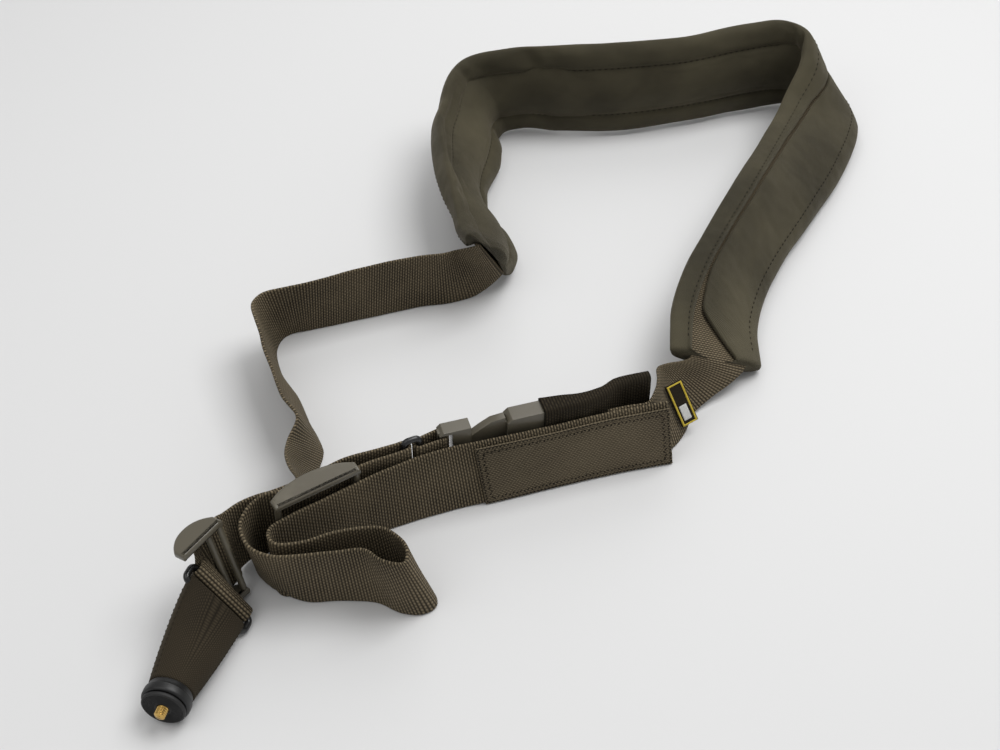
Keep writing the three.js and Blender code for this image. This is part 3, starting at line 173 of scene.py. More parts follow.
# Creases across the front: row of the pad's table, depth in millimetres, width in rows, and
# how many rows they slant over the pad's width
CREASES = np.array([
    (10.78, 3.4, 0.17, -0.70), (11.14, 2.6, 0.14, -0.60), (15.05, 1.6, 0.13, 0.25),
    (15.55, 2.4, 0.14, -0.25), (16.10, 2.6, 0.15, 0.15), (8.2, 2.0, 0.22, 0.5),
    (4.6, 1.8, 0.30, 0.9), (3.1, 1.5, 0.25, -0.8),
])
PASSAGE = 0.365  # half of the sleeve's width, as a share of the pad's
FOLD_FROM = 0.38  # where the raised strip starts, as a share of the pad's width
FOLD_RISE = 9.0
TONGUE = 0.853  # below this width, the pad goes on as padding alone
TONGUE_BLEND = 0.06
LOOP_WIDTH = 42.0  # the webbing, drawn in where it goes round the connector's ring
CONNECTOR_REACH = 9.4  # from one long side of the connector's ring to the other
LOOP_LEAN = (-0.60, 0.23)  # how far the connector's ring hangs over
LOOP_WAY = (-0.22, -0.97)  # where the connector points, seen from above


# ---- curves and surfaces as whole arrays


def unit(vectors: Array) -> Array:
    """The same directions with length one."""
    return vectors / np.linalg.norm(vectors, axis=-1, keepdims=True)


def cubic(start: Array, end: Array, slope_in: Array, slope_out: Array, share: Array) -> Array:
    """The cubic from start to end with the given slopes, at a share of the way."""
    return (start + slope_in * share
            + (3 * (end - start) - 2 * slope_in - slope_out) * share ** 2
            + (2 * (start - end) + slope_in + slope_out) * share ** 3)


def spans(points: Array, count: int) -> tuple[Array, Array, Array, Array, Array]:
    """Each step's span of a curve: the four points about it, and the share of the way."""
    last = len(points) - 1
    padded = np.vstack([2 * points[0] - points[1], points, 2 * points[-1] - points[-2]])
    at = np.linspace(0, last, count + 1)
    span = np.minimum(at.astype(int), last - 1)
    before, start, end, after = (padded[span + k] for k in range(4))
    return before, start, end, after, (at - span)[:, None]


def catmull(points: Array, count: int) -> Array:
    """Smooth curve through points.

    Each span is the cubic whose end slopes are the differences of its neighbours, each
    divided by the square root of the distance between them (centripetal Catmull-Rom).

    Args:
        points: Places to pass through, one row each.
        count: Equal parameter steps over the whole curve.

    Returns:
        count + 1 places on the curve.
    """
    before, start, end, after, share = spans(points, count)

    def root(first: Array, second: Array) -> Array:
        """Square root of the distance between two rows of places."""
        return np.sqrt(np.linalg.norm(second - first, axis=1))[:, None]

    middle = np.maximum(root(start, end), 1e-4)
    lead = np.where(root(before, start) < 1e-4, middle, root(before, start))
    tail = np.where(root(end, after) < 1e-4, middle, root(end, after))
    slope_in = middle * ((start - before) / lead - (end - before) / (lead + middle)
                         + (end - start) / middle)
    slope_out = middle * ((end - start) / middle - (after - start) / (middle + tail)
                          + (after - end) / tail)
    return cubic(start, end, slope_in, slope_out, share)


@dataclass
class Rails:
    """Lower and upper edge of a strap, one row for each station."""

    low: Array
    high: Array

    @classmethod
    def of_rows(cls, rows: Array, width: float) -> "Rails":
        """Edges that a table's rows give.

        The lower edge stands at (x, y) of the lay, lift widths above the floor, and the
        upper edge one width further along (over_x, over_y, the height left over).

        Args:
            rows: Table rows, at least five columns.
            width: Width of the strap.

        Returns:
            Rails with one station a row.
        """
        over = rows[:, 2:4]
        reach = np.linalg.norm(over, axis=1)
        foot = STRAP_THICK / 2 * reach
        low = np.column_stack([rows[:, :2] * LAY, rows[:, 4] * width + foot])
        rise = np.sqrt(1 - reach ** 2)
        return cls(low, low + np.column_stack([over, rise]) * width)

    def smooth(self, steps: int) -> "Rails":
        """Rails with steps stations between two of these."""
        count = (len(self.low) - 1) * steps
        return Rails(catmull(self.low, count), catmull(self.high, count))

    def part(self, first: int | None, last: int | None) -> "Rails":
        """Stations from first up to last, as a slice takes them."""
        return Rails(self.low[first:last], self.high[first:last])

    def axes(self, closed: bool = False) -> tuple[Array, Array, Array]:
        """Direction along the strap, across it and out of its face, at each station."""
        middle = self.low + self.high
        if closed:
            along = unit(np.roll(middle, -1, 0) - np.roll(middle, 1, 0))
        else:
            ends = np.vstack([middle[:1], middle, middle[-1:]])
            along = unit(ends[2:] - ends[:-2])
        across = unit(self.high - self.low)
        return along, across, unit(np.cross(along, across))

    def moved(self, distance: float | Array) -> "Rails":
        """The same rails moved out of the strap's face."""
        step = self.axes()[2] * np.reshape(distance, (-1, 1))
        return Rails(self.low + step, self.high + step)

    def at_share(self, share: float | Array) -> Array:
        """The line that lies at a share of the width from the lower edge."""
        return self.low + (self.high - self.low) * np.reshape(share, (-1, 1))

    def length(self, closed: bool = False) -> Array:
        """Distance travelled along the middle at each station, and once round if closed."""
        middle = self.at_share(0.5)
        if closed:
            middle = np.vstack([middle, middle[:1]])
        step = np.linalg.norm(np.diff(middle, axis=0), axis=1)
        return np.concatenate([[0.0], np.cumsum(step)])


def join(*rails: Rails) -> Rails:
    """One pair of rails from several, end to end."""
    return Rails(np.vstack([r.low for r in rails]), np.vstack([r.high for r in rails]))


@dataclass
class Stand:
    """A frame for hardware: along the strap, out of its face, and up along its width."""

    origin: Array
    along: Array
    out: Array
    up: Array

    @classmethod
    def at(cls, origin: Sequence[float], heading: float, lean: Array | None = None) -> "Stand":
        """Frame with its up direction along lean and its along direction near a heading.

        Args:
            origin: Place of the frame.
            heading: Direction of the strap seen from above, in degrees from +X.
            lean: Up direction; straight up if left out.

        Returns:
            The frame, all three directions square to each other.
        """
        up = unit(np.array([0.0, 0.0, 1.0]) if lean is None else lean)
        angle = np.radians(heading)
        flat = np.array([np.cos(angle), np.sin(angle), 0.0])
        along = unit(flat - up * flat.dot(up))
        return cls(np.asarray(origin, float), along, unit(np.cross(up, along)), up)

    def point(self, along: Any, out: Any, up: Any) -> Array:
        """Place or places from distances along the three directions."""
        terms = ((along, self.along), (out, self.out), (up, self.up))
        return self.origin + sum(np.asarray(d, float)[..., None] * axis for d, axis in terms)

    def edge(self, along: Any, out: Any, width: float = STRAP_WIDTH) -> Rails:
        """Strap edges that stand at places (along, out) of the frame."""
        along, out = np.atleast_1d(along), np.atleast_1d(out)
        half = np.full(np.shape(along), width / 2)
        return Rails(self.point(along, out, -half), self.point(along, out, half))

    def turn(self, bar: tuple[float, float], radius: float, start: float, end: float,
             width: float = STRAP_WIDTH) -> Rails:
        """Strap edges on a circle round a bar.

        Args:
            bar: The bar's place, along and out.
            radius: From the bar's middle to the strap's middle.
            start: First angle in degrees, from along towards out.
            end: Last angle.
            width: Width of the strap.

        Returns:
            Rails with nine stations.
        """
        angle = np.radians(np.linspace(start, end, 9))
        return self.edge(bar[0] + radius * np.cos(angle), bar[1] + radius * np.sin(angle), width)


def rounded_slab(width: float, thick: float, count: int) -> Array:
    """Outline of a strap cut across: flat faces and half-round edges.

    Args:
        width: Width across.
        thick: Thickness.
        count: Places on each flat face.

    Returns:
        Rows of (place across, place out), once round.
    """
    radius = thick / 2
    turn = np.radians(np.array([-54.0, -18.0, 18.0, 54.0]))
    flat = np.linspace(radius, width - radius, count)
    near = np.column_stack([flat, np.full(count, -radius)])
    right = np.column_stack([width - radius + radius * np.cos(turn), radius * np.sin(turn)])
    far = np.column_stack([flat[::-1], np.full(count, radius)])
    left = np.column_stack([radius - radius * np.cos(turn), -radius * np.sin(turn)])
    return np.vstack([near, right, far, left])


@dataclass
class Draft:
    """Shells gathered for one piece, before they become a mesh."""

    points: list[Array] = field(default_factory=list)
    faces: list[list[int]] = field(default_factory=list)
    uvs: list[Array] = field(default_factory=list)
    count: int = 0

    def grid(self, grid: Array, uv: Array | None = None, *,
             loop_rows: bool = False) -> "Draft":
        """Adds a closed surface over a grid of places, facing out.

        Quads join each place to the next in its row and in its column, and the last column
        to the first. Ends that do not join are closed by one flat face. The shell's signed
        volume, the sum of the corners' triple products, tells whether it is turned round.

        Args:
            grid: Places, rows by columns by three.
            uv: Texture places in metres, with a further row or column where it closes.
            loop_rows: The last row joins the first.

        Returns:
            This draft.
        """
        rows, cols = grid.shape[:2]
        i, j = np.meshgrid(np.arange(rows - (not loop_rows)), np.arange(cols), indexing="ij")
        corners = [(i, j), (i, j + 1), (i + 1, j + 1), (i + 1, j)]
        if uv is None:
            uv = np.stack(np.meshgrid(np.arange(rows + 1), np.arange(cols + 1),
                                      indexing="ij"), -1) * MM
        quads = np.stack([(a % rows) * cols + b % cols for a, b in corners], -1).reshape(-1, 4)
        marks = np.stack([uv[a, b] for a, b in corners], -2).reshape(-1, 4, 2)
        flat = grid.reshape(-1, 3)
        ends: list[tuple[Array, Array]] = []
        if not loop_rows:
            ends.append((np.arange(cols)[::-1], uv[0, :cols][::-1]))
            ends.append(((rows - 1) * cols + np.arange(cols), uv[rows - 1, :cols]))
        a, b, c, d = (flat[quads[:, k]] - flat.mean(0) for k in range(4))
        volume = np.einsum("ij,ij", a, np.cross(b, c)) + np.einsum("ij,ij", a, np.cross(c, d))
        for ring, _ in ends:
            fan = flat[ring] - flat.mean(0)
            volume += np.cross(fan[1:-1], fan[2:]).sum(0).dot(fan[0])
        step = -1 if volume < 0 else 1
        self.faces += (quads[:, ::step] + self.count).tolist()
        self.uvs.append(marks[:, ::step].reshape(-1, 2))
        for ring, mark in ends:
            self.faces.append((ring[::step] + self.count).tolist())
            self.uvs.append(mark[::step])
        self.points.append(flat)
        self.count += len(flat)
        return self

    def build(self, name: str, finish: "Finish", replaces: Sequence[str] = ()) -> bpy.types.Object:
        """Makes the piece, smooth shaded, riding on the root body.

        Args:
            name: Name of the piece.
            finish: Its finish.
            replaces: CAD nodes that it stands for.

        Returns:
            The new object.
        """
        mesh = bpy.data.meshes.new(name)
        places = (np.vstack(self.points) + SHIFT) * MM
        mesh.from_pydata(places.tolist(), [], self.faces)
        layer = mesh.uv_layers.new(name="Weave")
        layer.data.foreach_set("uv", np.vstack(self.uvs).astype(np.float32).ravel())
        mesh.polygons.foreach_set("use_smooth", np.ones(len(mesh.polygons), bool))
        mesh.update()
        piece = bpy.data.objects.new(name, mesh)
        bpy.context.scene.collection.objects.link(piece)
        mark(piece, finish, replaces)
        return piece


def mark(piece: bpy.types.Object, finish: "Finish", replaces: Sequence[str]) -> None:
    """Gives a piece its finish and body, hides the nodes that it stands for and logs its slot.

    Args:
        piece: The piece.
        finish: Its finish.
        replaces: CAD nodes that it stands for.
    """
    piece.data.materials.clear()
    piece.data.materials.append(finish.material())
    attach(piece, "root")
    if replaces:
        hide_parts(*replaces)
    LOG.info("%s: %d faces, %s", piece.name, len(piece.data.polygons), finish.slot)


def soften(piece: bpy.types.Object, angle: float = 35.0, bevel: float = 0.0,
           segments: int = 2) -> bpy.types.Object:
    """Rounds a hard piece's edges and keeps its flats flat.

    Args:
        piece: The piece.
        angle: Edges sharper than this many degrees are rounded or kept sharp.
        bevel: Rounding in millimetres; none at 0.
        segments: Faces across the rounding.

    Returns:
        The same piece.
    """
    if bevel:
        rounding = piece.modifiers.new("Rounding", "BEVEL")
        rounding.width = bevel * MM
        rounding.segments = segments
        rounding.limit_method = "ANGLE"
        rounding.angle_limit = np.radians(angle)
        rounding.harden_normals = True
    else:
        piece.data.set_sharp_from_angle(angle=np.radians(angle))
    return piece


def surface(piece: bpy.types.Object) -> tuple[Array, Array]:
    """A piece's places in metres and its normals, one row for each vertex."""
    places = np.empty(len(piece.data.vertices) * 3)
    normals = np.empty_like(places)
    piece.data.vertices.foreach_get("co", places)
    piece.data.vertex_normals.foreach_get("vector", normals)
    return places.reshape(-1, 3), normals.reshape(-1, 3)


def along_path(at: Array, travelled: Array, rows: Array) -> Array:
    """Rows of three values, read at distances along a path."""
    return np.stack([np.interp(at, travelled, rows[:, k]) for k in range(3)], -1)


def tube(path: Array, radius: float, sides: int, axis: Array) -> Array:
    """Round tube along a closed path that lies in a plane.

    Each ring is a circle spanned by the path's own normal in the plane and the plane's axis.

    Args:
        path: Places on the closed path.
        radius: Radius of the tube.
        sides: Places round the tube.
        axis: Normal of the path's plane.

    Returns:
        Grid of places, path by sides.
    """
    along = unit(np.roll(path, -1, 0) - np.roll(path, 1, 0))
    out = unit(np.cross(along, axis))
    turn = np.linspace(0, 2 * np.pi, sides, endpoint=False)
    ring = out[:, None] * np.cos(turn)[:, None] + axis * np.sin(turn)[:, None]
    return path[:, None] + ring * radius


def strap_grid(rails: Rails, thick: float, *, lower: float = 0.0, upper: float = 1.0,
               width: float = STRAP_WIDTH, count: int = 11, closed: bool = False,
               wave: float = 0.0) -> tuple[Array, Array]:
    """Strap of even thickness along rails.

    A place is the lower edge plus a share of the way to the upper edge, plus its part of
    the rounded outline out of the face, plus a slow wave along the edges.

    Args:
        rails: Edges of the strap.
        thick: Thickness.
        lower: Share of the width where the band starts.
        upper: Share of the width where it ends.
        width: Nominal width of the strap.
        count: Places across each face.
        closed: The strap closes in itself.
        wave: Height of the wave in the face, in millimetres.

    Returns:
        Grid of places, and texture places in metres.
    """
    outline = rounded_slab(width * (upper - lower), thick, count)
    out = rails.axes(closed)[2]
    share = lower + outline[:, 0] / width
    travelled = rails.length(closed)
    sway = wave * np.sin(travelled[:len(out), None] / 9.7) * np.cos(np.pi * share * 1.3 + 0.4)
    sway = sway + wave * 0.6 * np.sin(travelled[:len(out), None] / 4.1 + 7 * share)
    grid = (rails.low[:, None] + (rails.high - rails.low)[:, None] * share[None, :, None]
            + out[:, None] * (outline[None, :, 1, None] + sway[..., None]))
    across = np.append(outline[:, 0], outline[0, 0]) + lower * width
    uv = np.stack(np.broadcast_arrays(travelled[:, None], across[None, :]), -1) * MM
    if not closed:
        uv = np.concatenate([uv, uv[-1:]])
    return grid, uv


def stitch_rows(draft: Draft, path: Array, face: Array, *, length: float = 3.0,
                gap: float = 1.1, radius: float = 0.33, lift: float = 0.25) -> None:
    """Adds a row of sewn stitches along a path.

    Each stitch is a short bead of five rings: it starts and ends in the cloth and rises
    by lift in its middle, as one arch of a sine.

    Args:
        draft: Where the stitches go.
        path: Places on the seam.
        face: Direction out of the cloth at each place.
        length: Length of a stitch.
        gap: Length between two stitches.
        radius: Radius of the thread.
        lift: How high the middle stands out of the cloth.
    """
    step = np.linalg.norm(np.diff(path, axis=0), axis=1)
    travelled = np.concatenate([[0.0], np.cumsum(step)])
    starts = np.arange(gap, travelled[-1] - length, length + gap)
    if not len(starts):
        return
    share = np.linspace(0, 1, 5)
    at = starts[:, None] + share * length
    normal = unit(along_path(at, travelled, face))
    centre = along_path(at, travelled, path) + normal * (
        (lift + radius) * np.sin(np.pi * share)[:, None] - radius)
    heading = unit(centre[:, -1] - centre[:, 0])[:, None]
    side = unit(np.cross(heading, normal))
    over = np.cross(side, heading)
    turn = np.linspace(0, 2 * np.pi, 6, endpoint=False)
    size = radius * np.array([0.45, 0.9, 1.0, 0.9, 0.45])[:, None]
    ring = (side[:, :, None] * (np.cos(turn) * size)[None, ..., None]
            + over[:, :, None] * (np.sin(turn) * size)[None, ..., None])
    for bead in centre[:, :, None] + ring:
        draft.grid(bead)


# ---- finishes from nodes


class Value:
    """A number in a node tree; arithmetic on it adds Math nodes."""

    def __init__(self, board: "Board", socket: bpy.types.NodeSocket) -> None:
        """Wraps an output socket of a board."""
        self.board = board
        self.socket = socket

    def __add__(self, other: "Value | float") -> "Value":
        """Sum."""
        return self.board.math("ADD", self, other)

    __radd__ = __add__

    def __sub__(self, other: "Value | float") -> "Value":
        """Difference."""
        return self.board.math("SUBTRACT", self, other)

    def __rsub__(self, other: float) -> "Value":
        """Difference from a number."""
        return self.board.math("SUBTRACT", other, self)

    def __mul__(self, other: "Value | float") -> "Value":
        """Product."""
        return self.board.math("MULTIPLY", self, other)

    __rmul__ = __mul__

    def __truediv__(self, other: "Value | float") -> "Value":
        """Quotient."""
        return self.board.math("DIVIDE", self, other)

    def __pow__(self, other: "Value | float") -> "Value":
        """Power."""
        return self.board.math("POWER", self, other)

    def sine(self) -> "Value":
        """Sine, in radians."""
        return self.board.math("SINE", self)

    def size(self) -> "Value":
        """Distance from zero."""
        return self.board.math("ABSOLUTE", self)

    def floor(self) -> "Value":
        """Whole number below."""
        return self.board.math("FLOOR", self)

    def between(self, low: float, high: float) -> "Value":
        """0 below low, 1 above high and even between them."""
        node = self.board.node("ShaderNodeMapRange", {"clamp": True},
                               {"Value": self, "From Min": low, "From Max": high})
        return Value(self.board, node.outputs[0])


class Board:
    """Node tree of one material, with a Principled shader at its end."""

    def __init__(self, name: str) -> None:
        """Starts an empty material.

        Args:
            name: Name of the material.
        """
        self.material = bpy.data.materials.new(name)
        self.material.use_nodes = True
        self.tree = self.material.node_tree
        self.tree.nodes.clear()
        self.shader = self.node("ShaderNodeBsdfPrincipled")
        out = self.node("ShaderNodeOutputMaterial")
        self.tree.links.new(self.shader.outputs[0], out.inputs["Surface"])

    def node(self, kind: str, settings: dict[str, Any] | None = None,
             sockets: dict[Any, Any] | None = None) -> bpy.types.Node:
        """Adds a node.

        Args:
            kind: Type of the node.
            settings: Its own settings, set first.
            sockets: Values or links of its inputs, by name or number.

        Returns:
            The node.
        """
        node = self.tree.nodes.new(kind)
        for key, value in (settings or {}).items():
            setattr(node, key, value)
        for key, value in (sockets or {}).items():
            self.feed(node.inputs[key], value)
        return node

    def feed(self, socket: bpy.types.NodeSocket, value: Any) -> None:
        """Links a value to a socket, or sets it there."""
        if isinstance(value, Value):
            self.tree.links.new(value.socket, socket)
        elif isinstance(value, bpy.types.NodeSocket):
            self.tree.links.new(value, socket)
        elif isinstance(value, tuple) and len(value) == 3 and socket.type == "RGBA":
            socket.default_value = (*value, 1.0)
        else:
            socket.default_value = value

    def math(self, operation: str, *values: Any) -> Value:
        """A Math node with the given operation and values."""
        node = self.node("ShaderNodeMath", {"operation": operation}, dict(enumerate(values)))
        return Value(self, node.outputs[0])

    def place(self) -> bpy.types.NodeSocket:
        """Object coordinates."""
        return self.node("ShaderNodeTexCoord").outputs["Object"]

    def weave(self) -> tuple[bpy.types.NodeSocket, Value, Value]:
        """The piece's own texture places: the vector, and metres along and across."""
        vector = self.node("ShaderNodeUVMap", {"uv_map": "Weave"}).outputs[0]
        split = self.node("ShaderNodeSeparateXYZ", None, {0: vector})
        return vector, Value(self, split.outputs[0]), Value(self, split.outputs[1])

    def noise(self, vector: bpy.types.NodeSocket, scale: float, detail: float = 3.0) -> Value:
        """Noise between 0 and 1, centred on a half."""
        node = self.node("ShaderNodeTexNoise", None,
                         {"Vector": vector, "Scale": scale, "Detail": detail})
        return Value(self, node.outputs[0])

    def mix(self, share: Any, first: Any, second: Any) -> bpy.types.NodeSocket:
        """A colour between two colours."""
        node = self.node("ShaderNodeMix", {"data_type": "RGBA"}, {0: share, 6: first, 7: second})
        return node.outputs[2]

    def bump(self, height: Value, distance: float, strength: float = 1.0) -> bpy.types.NodeSocket:
        """Normal of a height map; distance in millimetres."""
        node = self.node("ShaderNodeBump", None, {"Height": height, "Distance": distance * MM,
                                                  "Strength": strength})
        return node.outputs[0]

    def finish(self, **sockets: Any) -> bpy.types.Material:
        """Feeds the shader's sockets, named with underscores, and returns the material."""
        for key, value in sockets.items():
            self.feed(self.shader.inputs[key.replace("_", " ")], value)
        return self.material


@dataclass(frozen=True)
class Finish:
    """What every finish has: a name, the record's slot and a base colour."""

    name: str
    slot: str
    colour: tuple[float, float, float]

    def material(self) -> bpy.types.Material:
        """The material, made once."""
        made = bpy.data.materials.get(self.name)
        return made if made else self.paint(Board(self.name))

    def paint(self, board: Board) -> bpy.types.Material:
        """Plain matte finish."""
        return board.finish(Base_Color=self.colour, Roughness=0.8)


class Cords(Enum):
    """Which way the cords of a woven cloth run."""

    ALONG = "along"
    ACROSS = "across"


@dataclass(frozen=True)
class Woven(Finish):
    """Heavy cloth of cords that float over and under each other.

    The height is a half-sine across each cord, times a wave along it that shifts by half
    its length from one cord to the next. The colour follows the height as painted shade:
    the gaps and low parts take the dark base colour, the raised yarn the lit one.
    """

    # lit colour of the raised yarn; the base colour is painted shade in the gaps
    raised_lit: tuple[float, float, float] = (0.1, 0.1, 0.07)
    cord: float = 1.5  # millimetres between cords
    float_length: float = 3.2  # millimetres between two crossings of a cord
    depth: float = 0.35
    cords: Cords = Cords.ALONG
    gap: float = 0.8  # how wide the painted shade in the gaps between cords is
    sheen: float = 0.15

    def paint(self, board: Board) -> bpy.types.Material:
        """Woven finish."""
        vector, along, across = board.weave()
        if self.cords is Cords.ACROSS:
            along, across = across, along
        lane = across / (self.cord * MM)
        cord = (lane * np.pi).sine().size() ** self.gap
        shift = lane.floor() * np.pi
        wave = (along * (2 * np.pi / (self.float_length * MM)) + shift).sine() * 0.5 + 0.5
        fuzz = board.noise(vector, 2600.0, 2.0)
        height = cord * (wave * 0.62 + 0.38) + fuzz * 0.16
        patch = board.noise(board.place(), 26.0, 4.0)
        # painted shade: the colour darkens where the weave is low, with random patches and fuzz on
        # top
        shade_and_tone = height.between(0.12, 0.98) * 0.85 + (patch - 0.5) * 0.5 + fuzz * 0.2
        colour = board.mix(shade_and_tone.between(0.0, 1.0), self.colour, self.raised_lit)
        return board.finish(Base_Color=colour, Roughness=0.78 + (patch - 0.5) * 0.2,
                            Normal=board.bump(height, self.depth),
                            Sheen_Weight=self.sheen, Sheen_Roughness=0.5,
                            Sheen_Tint=(0.9, 0.78, 0.56), Specular_IOR_Level=0.1)


@dataclass(frozen=True)
class Twill(Finish):
    """Smooth cover cloth with fine slanting ribs and faint wear.

    The height is a sine of the sum of the places along and across, under a fine grain. The colour
    is painted shade, darker in the ribs' valleys, with random grain and cloudy tone on top.
    """

    # lit colour of the rib tops; the base colour is painted shade in the valleys, both with random
    # tone
    raised_lit: tuple[float, float, float] = (0.1, 0.1, 0.07)
    rib: float = 1.1
    depth: float = 0.12
    dent: float = 0.0  # soft unevenness of the filling, in millimetres
    sheen: float = 0.25

    def paint(self, board: Board) -> bpy.types.Material:
        """Twill finish."""
        vector, along, across = board.weave()
        slant = ((along + across) * (2 * np.pi / (self.rib * MM))).sine() * 0.5 + 0.5
        cross = ((along - across) * (2 * np.pi / (self.rib * 0.6 * MM))).sine() * 0.5 + 0.5
        grain = board.noise(vector, 1800.0, 3.0)
        cloud = board.noise(board.place(), 14.0, 5.0)
        dents = board.noise(board.place(), 34.0, 2.0)
        height = slant * 0.5 + cross * 0.25 + grain * 0.45
        # painted shade: darker in the valleys of the ribs, plus random grain and cloudy tone
        shade_and_tone = (slant - 0.5) * 0.55 + (grain - 0.5) * 0.7 + (cloud - 0.5) * 1.5 + 0.45
        colour = board.mix(shade_and_tone.between(0.0, 1.0), self.colour, self.raised_lit)
        return board.finish(Base_Color=colour, Roughness=0.74 + (cloud - 0.5) * 0.25,
                            Normal=board.bump(height * self.depth + dents * self.dent, 1.0),
                            Sheen_Weight=self.sheen, Sheen_Roughness=0.45,
                            Sheen_Tint=(0.9, 0.8, 0.6), Specular_IOR_Level=0.15)


@dataclass(frozen=True)
class Moulded(Finish):
    """Plastic, rubber or metal with a fine grain, faint marks and a worn sheen."""

    worn: tuple[float, float, float] = (0.2, 0.2, 0.16)
    roughness: float = 0.4
    metallic: float = 0.0
    grain: float = 900.0  # noise scale
    depth: float = 0.03
    coat: float = 0.0

    def paint(self, board: Board) -> bpy.types.Material:
        """Moulded or machined finish."""
        place = board.place()
        grain = board.noise(place, self.grain, 2.0)
        marks = board.noise(place, 55.0, 6.0)
        scuff = marks.between(0.56, 0.78)
        colour = board.mix(scuff * 0.5, self.colour, self.worn)
        return board.finish(Base_Color=colour,
                            Roughness=self.roughness + (marks - 0.5) * 0.3 + scuff * 0.1,
                            Metallic=self.metallic, Normal=board.bump(grain, self.depth),
                            Coat_Weight=self.coat, Coat_Roughness=0.2)


# In the woven and twill finishes the first colour is painted shade in the weave's hollows and the
# second is the lit top of the yarn
WEBBING = Woven("Webbing", "webbing", (0.003, 0.0023, 0.0013), raised_lit=(0.225, 0.180, 0.115),
                cord=1.8, float_length=2.9, depth=0.6, cords=Cords.ACROSS, sheen=0.06, gap=1.8)
ELASTIC = Woven("Elastic", "elastic", (0.004, 0.003, 0.0017), raised_lit=(0.034, 0.026, 0.015),
                cord=1.8, float_length=1.6, depth=0.45, cords=Cords.ACROSS, sheen=0.04, gap=1.3)
SLEEVE = Woven("Sleeve_cloth", "sleeve_fabric", (0.010, 0.0076, 0.0046),
               raised_lit=(0.046, 0.036, 0.023), cord=0.9, float_length=1.7, depth=0.2, sheen=0.06)
LABEL = Woven("Label_cloth", "label", (0.024, 0.0185, 0.0115), raised_lit=(0.168, 0.137, 0.090),
              cord=1.5, float_length=2.4, depth=0.3, sheen=0.05, gap=1.0)
PAD_CLOTH = Twill("Pad_twill", "pad_fabric", (0.012, 0.0102, 0.0055),
                  raised_lit=(0.086, 0.075, 0.046), sheen=0.13, rib=1.2, depth=0.16, dent=3.4)
THREAD = Twill("Thread", "pad_fabric", (0.007, 0.0056, 0.003), raised_lit=(0.024, 0.020, 0.012),
               rib=0.5, depth=0.05, sheen=0.0)
STRAP_THREAD = Twill("Strap_thread", "webbing", (0.010, 0.008, 0.005),
                     raised_lit=(0.045, 0.036, 0.023), rib=0.5, depth=0.05, sheen=0.0)
LABEL_THREAD = Twill("Label_thread", "label", (0.006, 0.0048, 0.003),
                     raised_lit=(0.018, 0.0145, 0.009), rib=0.5, depth=0.05, sheen=0.0)
TAG_CLOTH = Woven("Tag_cloth", "tag", (0.008, 0.006, 0.0035), raised_lit=(0.030, 0.023, 0.014),
                  cord=0.5, float_length=0.8, depth=0.08, sheen=0.0)
TAG_YELLOW = Woven("Tag_border", "tag", (0.36, 0.25, 0.015), raised_lit=(0.72, 0.56, 0.09),
                   cord=0.5, float_length=0.8, depth=0.1, sheen=0.0)
TAG_PALE = Woven("Tag_block", "tag", (0.42, 0.42, 0.40), raised_lit=(0.78, 0.78, 0.76),
                 cord=0.5, float_length=0.8, depth=0.1, sheen=0.0)
PLASTIC = Moulded("Buckle_plastic", "plastic", (0.088, 0.077, 0.054), roughness=0.36,
                  worn=(0.16, 0.142, 0.10), coat=0.1)
BLACK_WIRE = Moulded("Black_wire", "black_metal", (0.008, 0.008, 0.008), roughness=0.26,
                     metallic=0.2, worn=(0.04, 0.04, 0.04), coat=0.2)
PUCK_GLOSS = Moulded("Puck_gloss", "puck_plastic", (0.003, 0.003, 0.003), roughness=0.46,
                     worn=(0.006, 0.006, 0.006))
SEAT = Moulded("Seat_rubber", "seat_rubber", (0.009, 0.009, 0.009), roughness=0.62,
               worn=(0.025, 0.025, 0.025), depth=0.06)
BRASS = Moulded("Stud_brass", "brass", (0.62, 0.40, 0.12), roughness=0.26, metallic=1.0,
                worn=(0.75, 0.55, 0.24))


# ---- the webbing's routes and the hardware that they run round


RAIL_HEIGHT = 4.3
WINDOW = STRAP_WIDTH + 2 * EASE
BAR = 4.0
BAR_CLEAR = BAR / 2 + EASE + STRAP_THICK / 2
RING_CLEAR = WIRE / 2 + EASE + STRAP_THICK / 2


